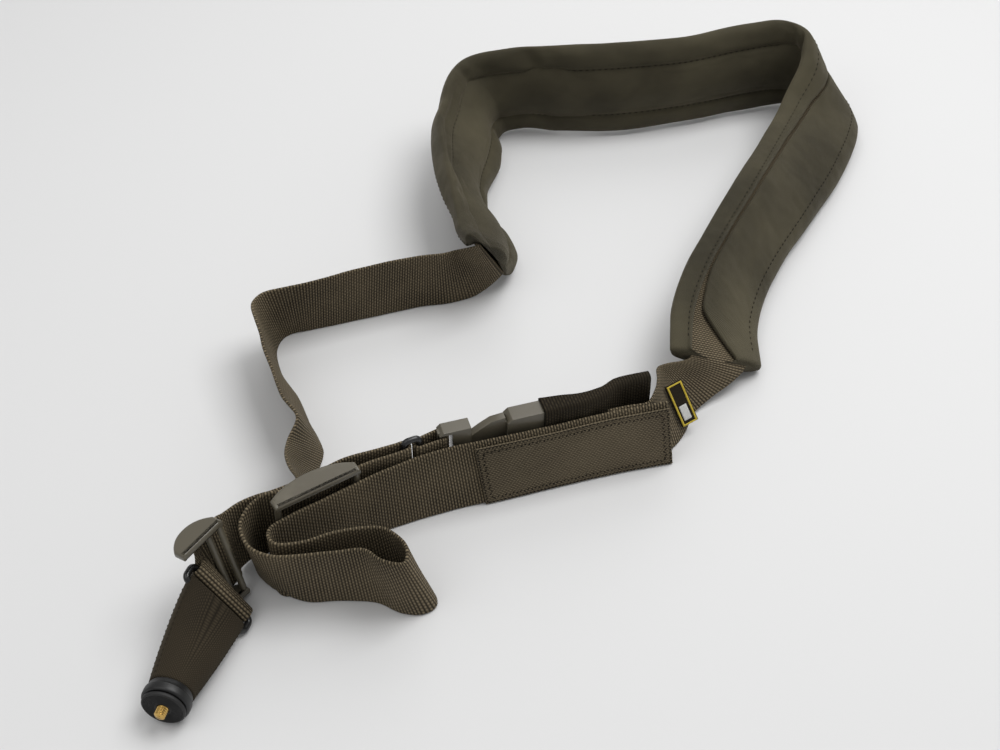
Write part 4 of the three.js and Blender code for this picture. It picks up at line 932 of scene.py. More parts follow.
@dataclass
class Adjuster:
    """Strap adjuster: two bowed rails and the bars between them."""

    name: str
    x: float
    y: float
    heading: float
    over: tuple[float, float]
    bulge: float
    length: float
    middle_bar: float = 0.0
    bars: int = 3
    middle_at: float = 0.0

    def stand(self) -> Stand:
        """The adjuster's frame, its rails' lowest points on the floor."""
        over = np.array(self.over)
        lean = np.array([*over, np.sqrt(1 - over.dot(over))])
        reach = np.linalg.norm(over) * abs(self.bulge)
        height = (WINDOW / 2 + RAIL_HEIGHT) * lean[2] + reach
        return Stand.at((self.x * LAY[0], self.y * LAY[1], height), self.heading, lean)

    def bar_places(self) -> list[tuple[float, float]]:
        """Places of the bars, along and out."""
        end = self.length / 2 - BAR / 2
        front = -np.sign(self.bulge) * BAR_CLEAR
        every = [(-end, front), (self.middle_at, self.middle_bar), (end, front)]
        return every[:self.bars]

    def rail_outline(self) -> Array:
        """Crescent of a rail: a flat side and a bow of two parabolas."""
        half = self.length / 2
        side = np.sign(self.bulge)
        flat = -side * (BAR_CLEAR + BAR / 2 + 0.4)
        t = np.linspace(0, 1, 15)[:, None]
        foot = np.array([[half, side * STRAP_THICK / 2]])
        knee = np.array([[half * 0.62, self.bulge]])
        top = np.array([[0.0, self.bulge]])
        bow = foot * (1 - t) ** 2 + 2 * knee * t * (1 - t) + top * t ** 2
        mirrored = bow[::-1][1:] * np.array([-1.0, 1.0])
        base = np.column_stack([np.linspace(-half, half, 24), np.full(24, flat)])
        return np.vstack([base, bow, mirrored])

    def build(self) -> None:
        """Makes the rails with rounded edges and the bars."""
        stand = self.stand()
        outline = self.rail_outline()
        draft = Draft()
        for low in (WINDOW / 2, -WINDOW / 2 - RAIL_HEIGHT):
            draft.grid(rounded_prism(stand, outline, low, low + RAIL_HEIGHT, 1.5))
        turn = np.linspace(0, 2 * np.pi, 20, endpoint=False)
        for along, out in self.bar_places():
            rows = [stand.point(along + BAR / 2 * np.cos(turn), out + BAR / 2 * np.sin(turn),
                                np.full(20, up))
                    for up in np.linspace(-WINDOW / 2 - 2, WINDOW / 2 + 2, 8)]
            draft.grid(np.array(rows))
        soften(draft.build(f"{self.name}_body", PLASTIC, (self.name,)), 50)


def rounded_prism(stand: Stand, outline: Array, low: float, high: float,
                  radius: float) -> Array:
    """Prism over an outline in a frame, with its top and bottom edges rounded.

    Each layer is the outline moved in along its own normals by the radius times one minus
    the sine of the layer's angle, at a height that follows the cosine.

    Args:
        stand: Frame of the outline, which lies along and out.
        outline: Places of the outline.
        low: Height of the bottom.
        high: Height of the top.
        radius: Rounding.

    Returns:
        Grid of places, layer by layer.
    """
    edge = np.roll(outline, -1, 0) - np.roll(outline, 1, 0)
    normal = unit(np.column_stack([edge[:, 1], -edge[:, 0]]))
    area = np.sum(outline[:, 0] * np.roll(outline[:, 1], -1)
                  - np.roll(outline[:, 0], -1) * outline[:, 1])
    normal = normal * np.sign(area)
    angle = np.radians(np.linspace(0, 90, 6))
    inset = radius * (1 - np.sin(angle))
    height = radius * (1 - np.cos(angle))
    layers = [(low + h, i) for h, i in zip(height, inset)]
    layers += [(high - h, i) for h, i in zip(height[::-1], inset[::-1])]
    inner = [(low, radius * 1.8), *layers, (high, radius * 1.8)]
    rows = [stand.point(*(outline - normal * i).T, np.full(len(outline), h)) for h, i in inner]
    return np.array(rows)


@dataclass
class WireRing:
    """Closed ring of round wire: two long bars joined by rounded ends."""

    name: str
    stand: Stand
    reach: float
    turn: float
    height: float
    corner: float = 3.0

    def build(self) -> None:
        """Makes the ring as a tube along a rounded rectangle."""
        side = (self.stand.along * np.cos(self.turn) + self.stand.out * np.sin(self.turn))
        up = self.stand.up
        half = self.height / 2 + WIRE / 2
        bend = self.corner
        quarter = np.radians(np.linspace(0, 90, 9))
        centres = [(self.reach - bend, half - bend), (bend, half - bend),
                   (bend, -half + bend), (self.reach - bend, -half + bend)]
        path = []
        for k, (across, high) in enumerate(centres):
            angle = quarter + k * np.pi / 2
            path.append(np.column_stack([across + bend * np.cos(angle),
                                         high + bend * np.sin(angle)]))
        flat = np.vstack(path)
        places = self.stand.origin + flat[:, :1] * side + flat[:, 1:] * up
        axis = unit(np.cross(side, up))
        draft = Draft().grid(tube(places, WIRE / 2, 16, axis), loop_rows=True)
        draft.build(f"{self.name}_wire", BLACK_WIRE, (self.name,))


@dataclass
class Routes:
    """Where every strap runs, worked out once from the tables and the hardware."""

    long_adjuster: Adjuster
    short_adjuster: Adjuster
    ring: Stand
    loop: Stand
    ring_reach: float = 9.6
    ring_turn: float = np.radians(-2.0)
    loop_width: float = LOOP_WIDTH
    front: Rails = field(init=False)
    shoulder: Rails = field(init=False)
    stations: Rails = field(init=False)
    pad_axes: tuple[Array, Array, Array] = field(init=False)
    pad_thick: Array = field(init=False)
    seam_count: int = 3

    def __post_init__(self) -> None:
        """Works out the pad's stations and both straps."""
        self.front = self.front_route()
        self.pad_stations()
        self.shoulder = self.shoulder_route()

    def front_route(self) -> Rails:
        """The label strap, its loose folds, and its way through the long adjuster."""
        stand = self.long_adjuster.stand()
        bars = self.long_adjuster.bar_places()
        thread = self.long_adjuster.length / 2 + 4
        rows = Rails.of_rows(FRONT_RUN, STRAP_WIDTH)
        free = join(rows, stand.edge(-12, 4.5), stand.edge(-5, 0.8), stand.edge(2, 0),
                    stand.edge(thread, 0), self.ring.edge(-4, -RING_CLEAR),
                    self.ring.edge(0, -RING_CLEAR)).smooth(ROW_STEPS)
        back = LAYER_STEP + 2 * BAR_CLEAR
        returning = join(self.ring.edge(0, RING_CLEAR), self.ring.edge(-4, RING_CLEAR),
                         stand.edge(24, back), stand.edge(12, back),
                         stand.edge(0, back)).smooth(ROW_STEPS)
        return join(free, self.ring.turn((0, 0), RING_CLEAR, -90, 90).part(1, None),
                    returning.part(1, -1), stand.turn(bars[1], BAR_CLEAR, 90, 270),
                    stand.edge(14, LAYER_STEP))

    def pad_stations(self) -> None:
        """The pad's edges and its share of the thickness at each of its stations."""
        self.stations = Rails.of_rows(PAD_RUN, PAD_WIDTH).smooth(PAD_STEPS)
        self.pad_axes = self.stations.axes()
        at = np.arange(len(self.stations.low)) / PAD_STEPS
        known = np.arange(len(PAD_RUN))
        self.pad_thick = np.interp(at, known, PAD_RUN[:, 6])[:, None]

    def passage(self) -> Rails:
        """The webbing's edges inside the pad's sleeve."""
        _, across, out = self.pad_axes
        depth = COVER_FACE[-1, 1] * self.pad_thick * PAD_THICK + PAD_WALL + SLEEVE_ROOM / 2
        middle = self.stations.at_share(0.5) + out * depth
        half = across * PASSAGE_WEBBING / 2
        return Rails(middle - half, middle + half)

    def shoulder_route(self) -> Rails:
        """The strap from its sewn end at the short adjuster to its seam behind the label."""
        short = self.short_adjuster.stand()
        middle = self.short_adjuster.middle_at
        width = self.loop_width
        turn = self.loop.turn((0, 0), RING_CLEAR, 95, -95, width)
        crossing = Rails(short.point([middle + 5.0], [-2.0], [-STRAP_WIDTH / 2 + 5.4]),
                         short.point([middle + 5.0], [-5.0], [STRAP_WIDTH / 2 - 3.0]))
        leg = join(turn.part(-1, None), self.loop.edge(-3.5, -RING_CLEAR, width), crossing,
                   short.edge(middle, -BAR_CLEAR - 0.2), short.edge(middle - 6, -BAR_CLEAR),
                   short.edge(middle - 12, -3.5)).smooth(ROW_STEPS)
        outs = leg.axes()[2]
        picked = [2 * ROW_STEPS, 2 * ROW_STEPS - 1]
        side = np.where(outs[picked] @ self.loop.out > 0, LAYER_STEP, -LAYER_STEP)[:, None]
        tail = Rails(leg.low[picked] + outs[picked] * side, leg.high[picked] + outs[picked] * side)
        start = join(tail, self.loop.edge(-4.6, 1.8, width),
                     turn.part(0, 1)).smooth(ROW_STEPS).part(ROW_STEPS - 2, -1)
        inside = self.passage().part(1, None)
        seam = Rails(self.front.low, self.front.high).moved(LAYER_STEP).part(1, 4)
        left = join(leg.part(-1 - ROW_STEPS, -ROW_STEPS), leg.part(-1, None),
                    Rails.of_rows(LEFT_RUN, STRAP_WIDTH), inside.part(0, 1),
                    inside.part(2, 3)).smooth(ROW_STEPS).part(ROW_STEPS + 1, -ROW_STEPS - 1)
        right = join(inside.part(-3, -2), inside.part(-1, None),
                     Rails.of_rows(RIGHT_RUN, STRAP_WIDTH), seam.part(0, 1),
                     seam.part(1, 2)).smooth(ROW_STEPS).part(ROW_STEPS + 1, -ROW_STEPS - 1)
        return join(start, turn, leg.part(1, None), left, inside, right, seam)


@dataclass
class Straps:
    """The two straps, the short loop at the plug and the sewn seams."""

    routes: Routes
    fine: int = 4

    def build(self) -> None:
        """Makes the straps and their seams."""
        front = ("front_webbing", "front_webbing_folds")
        shoulder = ("shoulder_webbing_loop", "shoulder_webbing_left", "shoulder_webbing_right")
        for name, rails, nodes in (("front", self.routes.front, front),
                                   ("shoulder", self.routes.shoulder, shoulder)):
            fine = rails.smooth(self.fine)
            grid, uv = strap_grid(fine, STRAP_THICK, wave=0.16)
            Draft().grid(grid, uv).build(f"{name}_strap_woven", WEBBING, nodes)
        self.seams()

    def seams(self) -> None:
        """Sewn rows: across the label strap's ends, the adjuster's tail and the loop's tail."""
        draft = Draft()
        front = self.routes.front.smooth(self.fine)
        shoulder = self.routes.shoulder.smooth(self.fine)
        for rails, at, sign in ((front, 3, -1), (front, 8, -1), (front, len(front.low) - 8, 1),
                                (shoulder, 6, 1), (shoulder, 9, 1)):
            out = rails.axes()[2][at] * sign
            share = np.linspace(0.06, 0.94, 12)[:, None]
            line = rails.low[at] + (rails.high[at] - rails.low[at]) * share
            line = line + out * STRAP_THICK / 2
            stitch_rows(draft, line, np.tile(out, (len(line), 1)), length=2.6, gap=0.8)
        draft.build("strap_seams", STRAP_THREAD)


# ---- the pad


@dataclass
class Pad:
    """Shoulder pad: padding in a twill cover, open along its back round the webbing."""

    routes: Routes
    fine: int = 2  # sections between two stations of the source
    across: int = 3  # places between two corners of the outline
    back_corners: int = 9  # of the flap and the passage's wall, on each half
    frames: int = 20
    cap: float = 3.2  # millimetres that the filling may swell the cover

    def outline(self) -> Array:
        """The cover's outline at each section.

        Each side is the front's half profile and then the flap and wall of the passage;
        where only the padding goes on, everything below its back is raised to it. The
        strip beyond the passage leans out by the fold, in proportion to its place.

        Returns:
            Corners, section by corner by three.
        """
        rails = self.routes.stations.smooth(self.fine)
        _, across, out = rails.axes()
        row = np.arange(len(rails.low))[:, None] / (PAD_STEPS * self.fine)
        width, thick, open_low, open_high, fold = (
            np.interp(row, np.arange(len(PAD_RUN)), PAD_RUN[:, k]) for k in range(5, 10))
        thick = thick * PAD_THICK
        back = COVER_FACE[-1, 1] * thick
        inner = back + PAD_WALL
        floor = inner + SLEEVE_ROOM
        bare = 1 - np.clip((width - TONGUE) / TONGUE_BLEND, 0, 1)
        middle = rails.at_share(0.5)
        sides = []
        for sign, opening in ((1, open_high), (-1, open_low)):
            edge = np.minimum(opening, PASSAGE - 0.02)
            start = COVER_FACE[-1, 0]
            outer = [start + (edge - start) * share for share in (0.33, 0.67, 0.94)]
            under = [edge + (PASSAGE - edge) * share for share in (0.33, 0.67)]
            wall = np.full_like(edge, PASSAGE)
            place = np.hstack([np.tile(COVER_FACE[:, 0], (len(edge), 1)), *outer, edge, edge,
                               *under, wall, wall])
            deep = np.hstack([COVER_FACE[:, 1] * thick, back - 1.0, back - 1.1, back - 0.8,
                              back - 0.4, inner - 0.4, inner - 0.3, inner - 0.1, inner, floor])
            level = floor - 0.02 * np.arange(place.shape[1])[::-1]
            deep = deep + np.maximum(0, level - deep) * bare
            lean = np.maximum(0, sign * place - FOLD_FROM) / (0.5 - FOLD_FROM)
            deep = deep + lean * fold * FOLD_RISE
            sides.append(middle[:, None] + across[:, None] * (sign * place * width
                         * PAD_WIDTH)[..., None] + out[:, None] * deep[..., None])
        return np.concatenate([sides[0], sides[1][:, 1:][:, ::-1]], axis=1)

    def grid(self) -> tuple[Array, Array, Array]:
        """The pad's surface: closed curves through the corners of each section.

        Returns:
            Grid of places, texture places in metres, and each column's place on the outline.
        """
        corners = self.outline()
        ring = np.arange(corners.shape[1] * self.across) / self.across
        grid = closed_curve(corners, ring)
        around = np.linalg.norm(np.diff(grid, axis=1, append=grid[:, :1]), axis=2)
        around = np.median(around, axis=0)
        along = np.linalg.norm(np.diff(grid[:, 0], axis=0), axis=1)
        u = np.concatenate([[0.0], np.cumsum(along), [0.0]])
        v = np.concatenate([[0.0], np.cumsum(around)])
        uv = np.stack(np.broadcast_arrays(u[:, None], v[None, :]), -1) * MM
        return grid, uv, ring

    def build(self) -> None:
        """Makes the pad, swells its filling, presses its creases and sews its rows."""
        grid, uv, ring = self.grid()
        draft = Draft().grid(grid, uv)
        pad = draft.build("shoulder_pad_cover", PAD_CLOTH, ("shoulder_pad",))
        half = len(COVER_FACE) + self.back_corners
        corner = np.where(ring < half, ring, 2 * half - 1 - ring)
        self.swell(pad, self.held(corner, len(grid)), grid.shape[:2])
        self.crease(pad, ring, grid.shape[:2])
        detail = pad.modifiers.new("Smooth", "SUBSURF")
        detail.levels = detail.render_levels = 1
        self.rows(pad, grid.shape[:2])

    def held(self, corner: Array, rows: int) -> Array:
        """How firmly each place is held while the filling swells.

        Seams, flaps, passage and both ends are held, the panels between them are free.

        Args:
            corner: Place of each column on the half outline.
            rows: Number of sections.

        Returns:
            Weights from 0 to 1, rows by columns, flat.
        """
        seam = np.exp(-((corner - 3.0) / 0.45) ** 2) + 0.6 * np.exp(-((corner - 7.0) / 0.6) ** 2)
        back = np.clip(corner - 8.2, 0, 1)
        column = np.clip(seam + back, 0, 1)
        row = np.arange(rows)
        end = np.clip(1 - np.minimum(row, rows - 1 - row) / 6, 0, 1)
        return np.maximum(column[None, :], end[:, None]).ravel()

    def swell(self, pad: bpy.types.Object, held: Array, shape: tuple[int, int]) -> None:
        """Blows the cover up from inside with Blender's cloth and keeps the result.

        The move of each vertex is evened out with its neighbours' and then capped.

        Args:
            pad: The pad.
            held: Weight of each vertex that keeps it in place.
            shape: Rows and columns of its grid.
        """
        group = pad.vertex_groups.new(name="held")
        for level in np.unique(np.round(held, 2)):
            picked = np.flatnonzero(np.round(held, 2) == level)
            group.add(picked.tolist(), float(level), "REPLACE")
        cloth = pad.modifiers.new("Filling", "CLOTH")
        options = cloth.settings
        options.quality = 5
        options.mass = 0.3
        options.vertex_group_mass = "held"
        options.tension_stiffness = options.compression_stiffness = 12
        options.shear_stiffness = 4
        options.bending_stiffness = 1.5
        options.use_pressure = True
        options.uniform_pressure_force = 4.0
        options.shrink_min = -0.01
        options.effector_weights.gravity = 0.0
        cloth.collision_settings.use_collision = False
        scene = bpy.context.scene
        cloth.point_cache.frame_start, cloth.point_cache.frame_end = 1, self.frames
        for frame in range(1, self.frames + 1):
            scene.frame_set(frame)
        swollen = pad.evaluated_get(bpy.context.evaluated_depsgraph_get()).data
        before = np.empty(len(pad.data.vertices) * 3)
        after = np.empty_like(before)
        pad.data.vertices.foreach_get("co", before)
        swollen.vertices.foreach_get("co", after)
        pad.modifiers.remove(cloth)
        scene.frame_set(1)
        move = (after - before).reshape(*shape, 3)
        for _ in range(3):
            ends = np.concatenate([move[:1], move, move[-1:]])
            move = (move * 2 + ends[:-2] + ends[2:]
                    + np.roll(move, 1, axis=1) + np.roll(move, -1, axis=1)) / 6
        move = move.reshape(-1, 3)
        size = np.maximum(np.linalg.norm(move, axis=1, keepdims=True), 1e-9)
        limit = self.cap * MM
        move = move / size * limit * np.tanh(size / limit)
        pad.data.vertices.foreach_set("co", (before.reshape(-1, 3) + move).ravel())
        pad.data.update()
        LOG.info("filling swelled by up to %.1f mm", float(size.max() / MM))

    def crease(self, pad: bpy.types.Object, ring: Array, shape: tuple[int, int]) -> None:
        """Presses the creases into the pad's front.

        Each crease is a bell curve of the place along the pad, slanted by the place across
        it, and moves the cover in along its own normal.

        Args:
            pad: The pad.
            ring: Each column's place on the outline, in corners.
            shape: Rows and columns of its grid.
        """
        places, normals = surface(pad)
        total = shape[1] / self.across
        sign = np.where(ring < total / 2, 1.0, -1.0)
        corner = np.where(ring < total / 2, ring, total - ring)
        known = np.arange(len(COVER_FACE))
        place = sign * np.interp(corner, known, COVER_FACE[:, 0])
        front = np.interp(corner, known, np.clip(COVER_FACE[:, 1] / 0.3, 0, 1), right=0.0)
        row = np.arange(shape[0])[:, None] / (PAD_STEPS * self.fine)
        deep = sum(depth * np.exp(-((row - at - slant * place) / wide) ** 2)
                   for at, depth, wide, slant in CREASES) * front
        moved = places - normals * deep.reshape(-1, 1) * MM
        pad.data.vertices.foreach_set("co", moved.ravel())
        pad.data.update()

    def rows(self, pad: bpy.types.Object, shape: tuple[int, int]) -> None:
        """Sews the pad's rows of stitches on its swollen surface.

        Args:
            pad: The pad.
            shape: Rows and columns of its grid.
        """
        places, normals = surface(pad)
        grid = places.reshape(*shape, 3) / MM - SHIFT
        normal = normals.reshape(*shape, 3)
        total = shape[1]
        draft = Draft()
        first = 3 * self.fine  # the sewing starts inside the mouth's edge
        for column in (3 * self.across, 9 * self.across + 1):
            for side in (column, (total - column) % total):
                stitch_rows(draft, grid[first:-2, side], normal[first:-2, side],
                            length=3.4, gap=1.5, radius=0.45,
                            lift=0.25 if column == 3 * self.across else 0.0)
        draft.build("shoulder_pad_stitches", THREAD)


def catmull_columns(points: Array, count: int) -> Array:
    """Smooth curve through rows of many places at once, with even spacing.

    Each span is the cubic whose end slopes are half the difference of the neighbours.

    Args:
        points: Stations by values.
        count: Equal steps over the whole curve.

    Returns:
        count + 1 rows of values.
    """
    before, start, end, after, share = spans(points, count)
    return cubic(start, end, (end - before) / 2, (after - start) / 2, share)


def closed_curve(rows: Array, ring: Array) -> Array:
    """Smooth closed curves through each row's corners, without overshoot.

    The slope at a corner is the weighted mean of the two spans' own slopes, each weighted
    by the other span's length, so that a short span isn't thrown by a long one beside it.

    Args:
        rows: Rows by corners by three.
        ring: Places on the curve, in corners.

    Returns:
        Rows by places by three.
    """
    count = rows.shape[1]
    span = ring.astype(int)
    share = (ring - span)[None, :, None]
    step = np.roll(rows, -1, axis=1) - rows
    size = np.maximum(np.linalg.norm(step, axis=2, keepdims=True), 1e-6)
    pace = step / size
    lead, lead_size = np.roll(pace, 1, axis=1), np.roll(size, 1, axis=1)
    heading = (lead * size + pace * lead_size) / (size + lead_size)
    start, end = rows[:, span], rows[:, (span + 1) % count]
    length = size[:, span]
    slope_in = heading[:, span] * length
    slope_out = heading[:, (span + 1) % count] * length
    return cubic(start, end, slope_in, slope_out, share)


# ---- labels


@dataclass
class Labels:
    """Sewn label patch on the front strap and the small tag beside its end."""

    routes: Routes
    patch_length: float = 129.0
    patch_height: float = 46.0
    tag_length: float = 13.0
    tag_height: float = 36.0
    tag_place: int = 7
    tag_side: float = -2.8

    def build(self) -> None:
        """Makes the patch with its border, and the tag."""
        self.patch()
        self.tag()

    @staticmethod
    def picked(rails: Rails, start: int, length: float) -> tuple[int, int]:
        """First and last station, so that the lower edge stays within a length."""
        step = np.linalg.norm(np.diff(rails.low[start:], axis=0), axis=1)
        travelled = np.concatenate([[0.0], np.cumsum(step)])
        return start, start + int(np.sum(travelled <= length))

    def patch(self) -> None:
        """The patch: cloth, overlock edge and a zigzag row just inside it."""
        front = self.routes.front
        chosen = self.picked(front, 0, self.patch_length)
        rails = front.moved(-1.75).part(*chosen).smooth(4)
        upper = self.patch_height / STRAP_WIDTH
        grid, uv = strap_grid(rails, 1.0, upper=upper, count=15, wave=0.08)
        Draft().grid(grid, uv).build("label_patch_cloth", LABEL, ("label_patch",))
        self.border(rails.moved(-0.5), upper)

    def border(self, rails: Rails, upper: float) -> None:
        """Sewing round the patch: a close zigzag between two lines.

        Args:
            rails: Edges of the strap at the patch's face.
            upper: Share of the strap's width that the patch reaches; not used.
        """
        out = -rails.axes()[2]
        travelled = rails.length()
        total = travelled[-1]
        height = self.patch_height
        draft = Draft()

        def places(along: Array, high: Array) -> tuple[Array, Array]:
            """Places and normals on the patch from distances along and up."""
            share = high / STRAP_WIDTH
            low, top, face = (along_path(along, travelled, rows)
                              for rows in (rails.low, rails.high, out))
            return low + (top - low) * share[:, None], face

        for inset, zigzag in ((4.4, 1.3), (1.1, 0.7)):
            corners = np.array([(inset, inset), (total - inset, inset),
                                (total - inset, height - inset), (inset, height - inset),
                                (inset, inset)])
            for first, last in zip(corners[:-1], corners[1:]):
                run = float(np.linalg.norm(last - first))
                count = max(2, int(run / 2.3))
                t = np.linspace(0, 1, count)[:, None]
                line = first + (last - first) * t
                side = np.array([last[1] - first[1], first[0] - last[0]]) / run
                line = line + side * zigzag * np.where(np.arange(count) % 2, 1, -1)[:, None]
                path, face = places(line[:, 0], line[:, 1])
                for k in range(count - 1):
                    stitch_rows(draft, path[k:k + 2], face[k:k + 2], length=2.3, gap=0.05,
                                radius=0.36, lift=0.2)
        draft.build("label_patch_sewing", LABEL_THREAD)

    def tag(self) -> None:
        """The tag: dark cloth, a raised border and a pale block, all plain."""
        shoulder = self.routes.shoulder
        first = len(shoulder.low) - self.routes.seam_count - self.tag_place
        start, end = self.picked(shoulder, first, self.tag_length)
        rails = shoulder.moved(self.tag_side).part(start, end)
        middle = rails.at_share(0.5)
        along = unit(unit(middle[-1] - middle[0]) * (1 - TAG_FREE)
                     - np.array([0.97, 0.2, 0.0]) * TAG_FREE)
        share = np.linspace(0, 1, 5)[:, None] * self.tag_length
        fine = Rails(rails.low[-1] - along * (self.tag_length - share),
                     rails.high[-1] - along * (self.tag_length - share)).smooth(5)
        low, high = 0.16, 0.16 + self.tag_height / STRAP_WIDTH
        grid, uv = strap_grid(fine, 1.2, lower=low, upper=high, count=9)
        Draft().grid(grid, uv).build("side_tag_cloth", TAG_CLOTH, ("side_tag",))
        face = fine.moved(-0.72)
        count = len(face.low)
        bars = Draft()
        share = 1.2 / STRAP_WIDTH
        for lower in (low + 0.012, high - share - 0.012):
            grid, uv = strap_grid(face.part(1, count - 1), 0.4, lower=lower,
                                  upper=lower + share, count=3)
            bars.grid(grid, uv)
        for start in (1, count - 4):
            grid, uv = strap_grid(face.part(start, start + 3), 0.4, lower=low + 0.03,
                                  upper=high - 0.03, count=9)
            bars.grid(grid, uv)
        bars.build("side_tag_border", TAG_YELLOW)
        block = Draft()
        grid, uv = strap_grid(face.part(count // 4 + 1, count - count // 4), 0.36,
                              lower=low + 0.09, upper=low + 0.34, count=6)
        block.grid(grid, uv)
        block.build("side_tag_block", TAG_PALE)


# ---- buckle, keeper and tab


@dataclass
class Buckle:
    """Side-release buckle on its edge, its short webbing loop and the elastic keeper."""

    ring: Stand
    ring_reach: float
    ring_turn: float
    x: float = 0.0063
    y: float = -0.1569
    heading: float = 17.0
    keeper_length: float = 71.0
    keeper_wall: float = 1.3
    socket_shown: float = 23.0

    def stand(self) -> Stand:
        """The buckle's frame, half way up its height."""
        lift = self.keeper_wall + EASE + BUCKLE_HEIGHT / 2
        return Stand.at((self.x * LAY[0], self.y * LAY[1], lift), self.heading)

    def build(self, nodes: dict[str, bpy.types.Object]) -> None:
        """Makes the buckle's pieces.

        Args:
            nodes: CAD nodes by name.
        """
        for name in ("buckle_plug", "buckle_socket"):
            hard_copy(nodes[name], PLASTIC, 0.9)
        self.tab()
        self.keeper()

    def tab(self) -> None:
        """Webbing loop from the plug's bar to the ring."""
        stand = self.stand()
        far = self.ring.point(self.ring_reach * np.cos(self.ring_turn),
                              self.ring_reach * np.sin(self.ring_turn), 0.0)
        origin = stand.point(-40.0, 0.0, 0.0)
        way = far - origin
        frame = Stand.at(origin, float(np.degrees(np.arctan2(way[1], way[0]))))
        length = float(np.hypot(way[0], way[1]))
        clear = 2 * np.sqrt(2) + EASE + STRAP_THICK / 2
        width = STRAP_WIDTH - 2
        loop = join(frame.turn((0, 0), clear, 90, 270, width),
                    frame.turn((length, 0), RING_CLEAR, -90, 90, width))
        grid, uv = strap_grid(loop, STRAP_THICK, width=width, closed=True)
        Draft().grid(grid, uv, loop_rows=True).build("buckle_tab_woven", WEBBING,
                                                     ("buckle_tab",))

    def keeper(self) -> None:
        """Elastic tube over the socket, drawn flat towards its sewn end."""
        run = np.array([(0.0, 0.0, 1.31), (0.18, -0.05, 1.18), (0.36, -0.13, 1.0),
                        (0.54, 0.04, 0.86), (0.73, 0.52, 0.76), (1.0, 0.57, 0.62)])
        rows = catmull(run, 60)
        outer = self.rings(rows, 0.0)
        inner = self.rings(rows, self.keeper_wall)
        grid = np.concatenate([outer, inner[::-1]])
        u = rows[:, 0] * self.keeper_length
        u = np.concatenate([u, u[::-1], u[:1]])
        v = np.linspace(0, 2 * (BUCKLE_HEIGHT + BUCKLE_THICK), grid.shape[1] + 1)
        uv = np.stack(np.broadcast_arrays(u[:, None], v[None, :]), -1) * MM
        draft = Draft().grid(grid, uv, loop_rows=True)
        draft.build("elastic_keeper_knit", ELASTIC, ("elastic_keeper",))
        sewing = Draft()
        stand = self.stand()
        for share in (0.93, 0.955):
            row = rows[int(share * 60)]
            high = np.linspace(-BUCKLE_HEIGHT / 2 + 2, BUCKLE_HEIGHT / 2 - 2, 24)
            for sign in (1, -1):
                out = row[1] * BUCKLE_THICK + sign * row[2] * BUCKLE_THICK / 2
                at = self.socket_shown + row[0] * self.keeper_length
                line = stand.point(np.full(24, at), np.full(24, out), high)
                stitch_rows(sewing, line, np.tile(stand.out * sign, (24, 1)), length=2.4,
                            gap=0.8)
        sewing.build("elastic_keeper_seam", STRAP_THREAD)

    def rings(self, rows: Array, wall: float) -> Array:
        """Rounded rectangles of the keeper, shrunk by a wall.

        Args:
            rows: Place along, place out and thickness, as shares.
            wall: How far inside the outer face.

        Returns:
            Grid of places, row by row.
        """
        tall = BUCKLE_HEIGHT + 2 * (EASE + self.keeper_wall - wall)
        corner = 2.6 - wall
        stand = self.stand()
        turn = np.radians(np.linspace(0, 90, 6))
        rings = []
        for along, out, thick in rows:
            half = thick * BUCKLE_THICK / 2 - wall - corner
            high = tall / 2 - corner
            ripple = 0.25 * np.sin(along * 40) * (1 - wall / 2)
            places = []
            for k, (side, up) in enumerate(((1, 1), (-1, 1), (-1, -1), (1, -1))):
                angle = turn + k * np.pi / 2
                places.append((out * BUCKLE_THICK + side * half + corner * np.cos(angle),
                               up * high + corner * np.sin(angle)))
                if k in (0, 2):
                    continue
                flat = np.linspace(0.08, 0.92, 12) * 2 * high
                bow = ripple + 0.5 * np.sin(np.pi * flat / (2 * high)) * (wall < 1)
                face = out * BUCKLE_THICK + side * (half + corner + bow)
                places.append((face, up * (high - flat)))
            outs = np.concatenate([p[0] for p in places])
            ups = np.concatenate([p[1] for p in places])
            at = self.socket_shown + along * self.keeper_length
            rings.append(stand.point(np.full(len(outs), at), outs, ups))
        return np.array(rings)


def hard_copy(node: bpy.types.Object, finish: Finish, bevel: float) -> bpy.types.Object:
    """A hard CAD node again, its triangles merged and its edges rounded.

    Args:
        node: The CAD node.
        finish: Its finish.
        bevel: Rounding in millimetres.

    Returns:
        The piece that stands for the node.
    """
    mesh = node.data.copy()
    shape = bmesh.new()
    shape.from_mesh(mesh)
    bmesh.ops.remove_doubles(shape, verts=shape.verts, dist=2e-5)
    bmesh.ops.dissolve_limit(shape, angle_limit=np.radians(1.5), verts=shape.verts,
                             edges=shape.edges)
    shape.to_mesh(mesh)
    shape.free()
    piece = bpy.data.objects.new(f"{node.name}_moulded", mesh)
    bpy.context.scene.collection.objects.link(piece)
    mesh.polygons.foreach_set("use_smooth", np.ones(len(mesh.polygons), bool))
    mark(piece, finish, (node.name,))
    return soften(piece, 32, bevel, 3)


# ---- camera connector


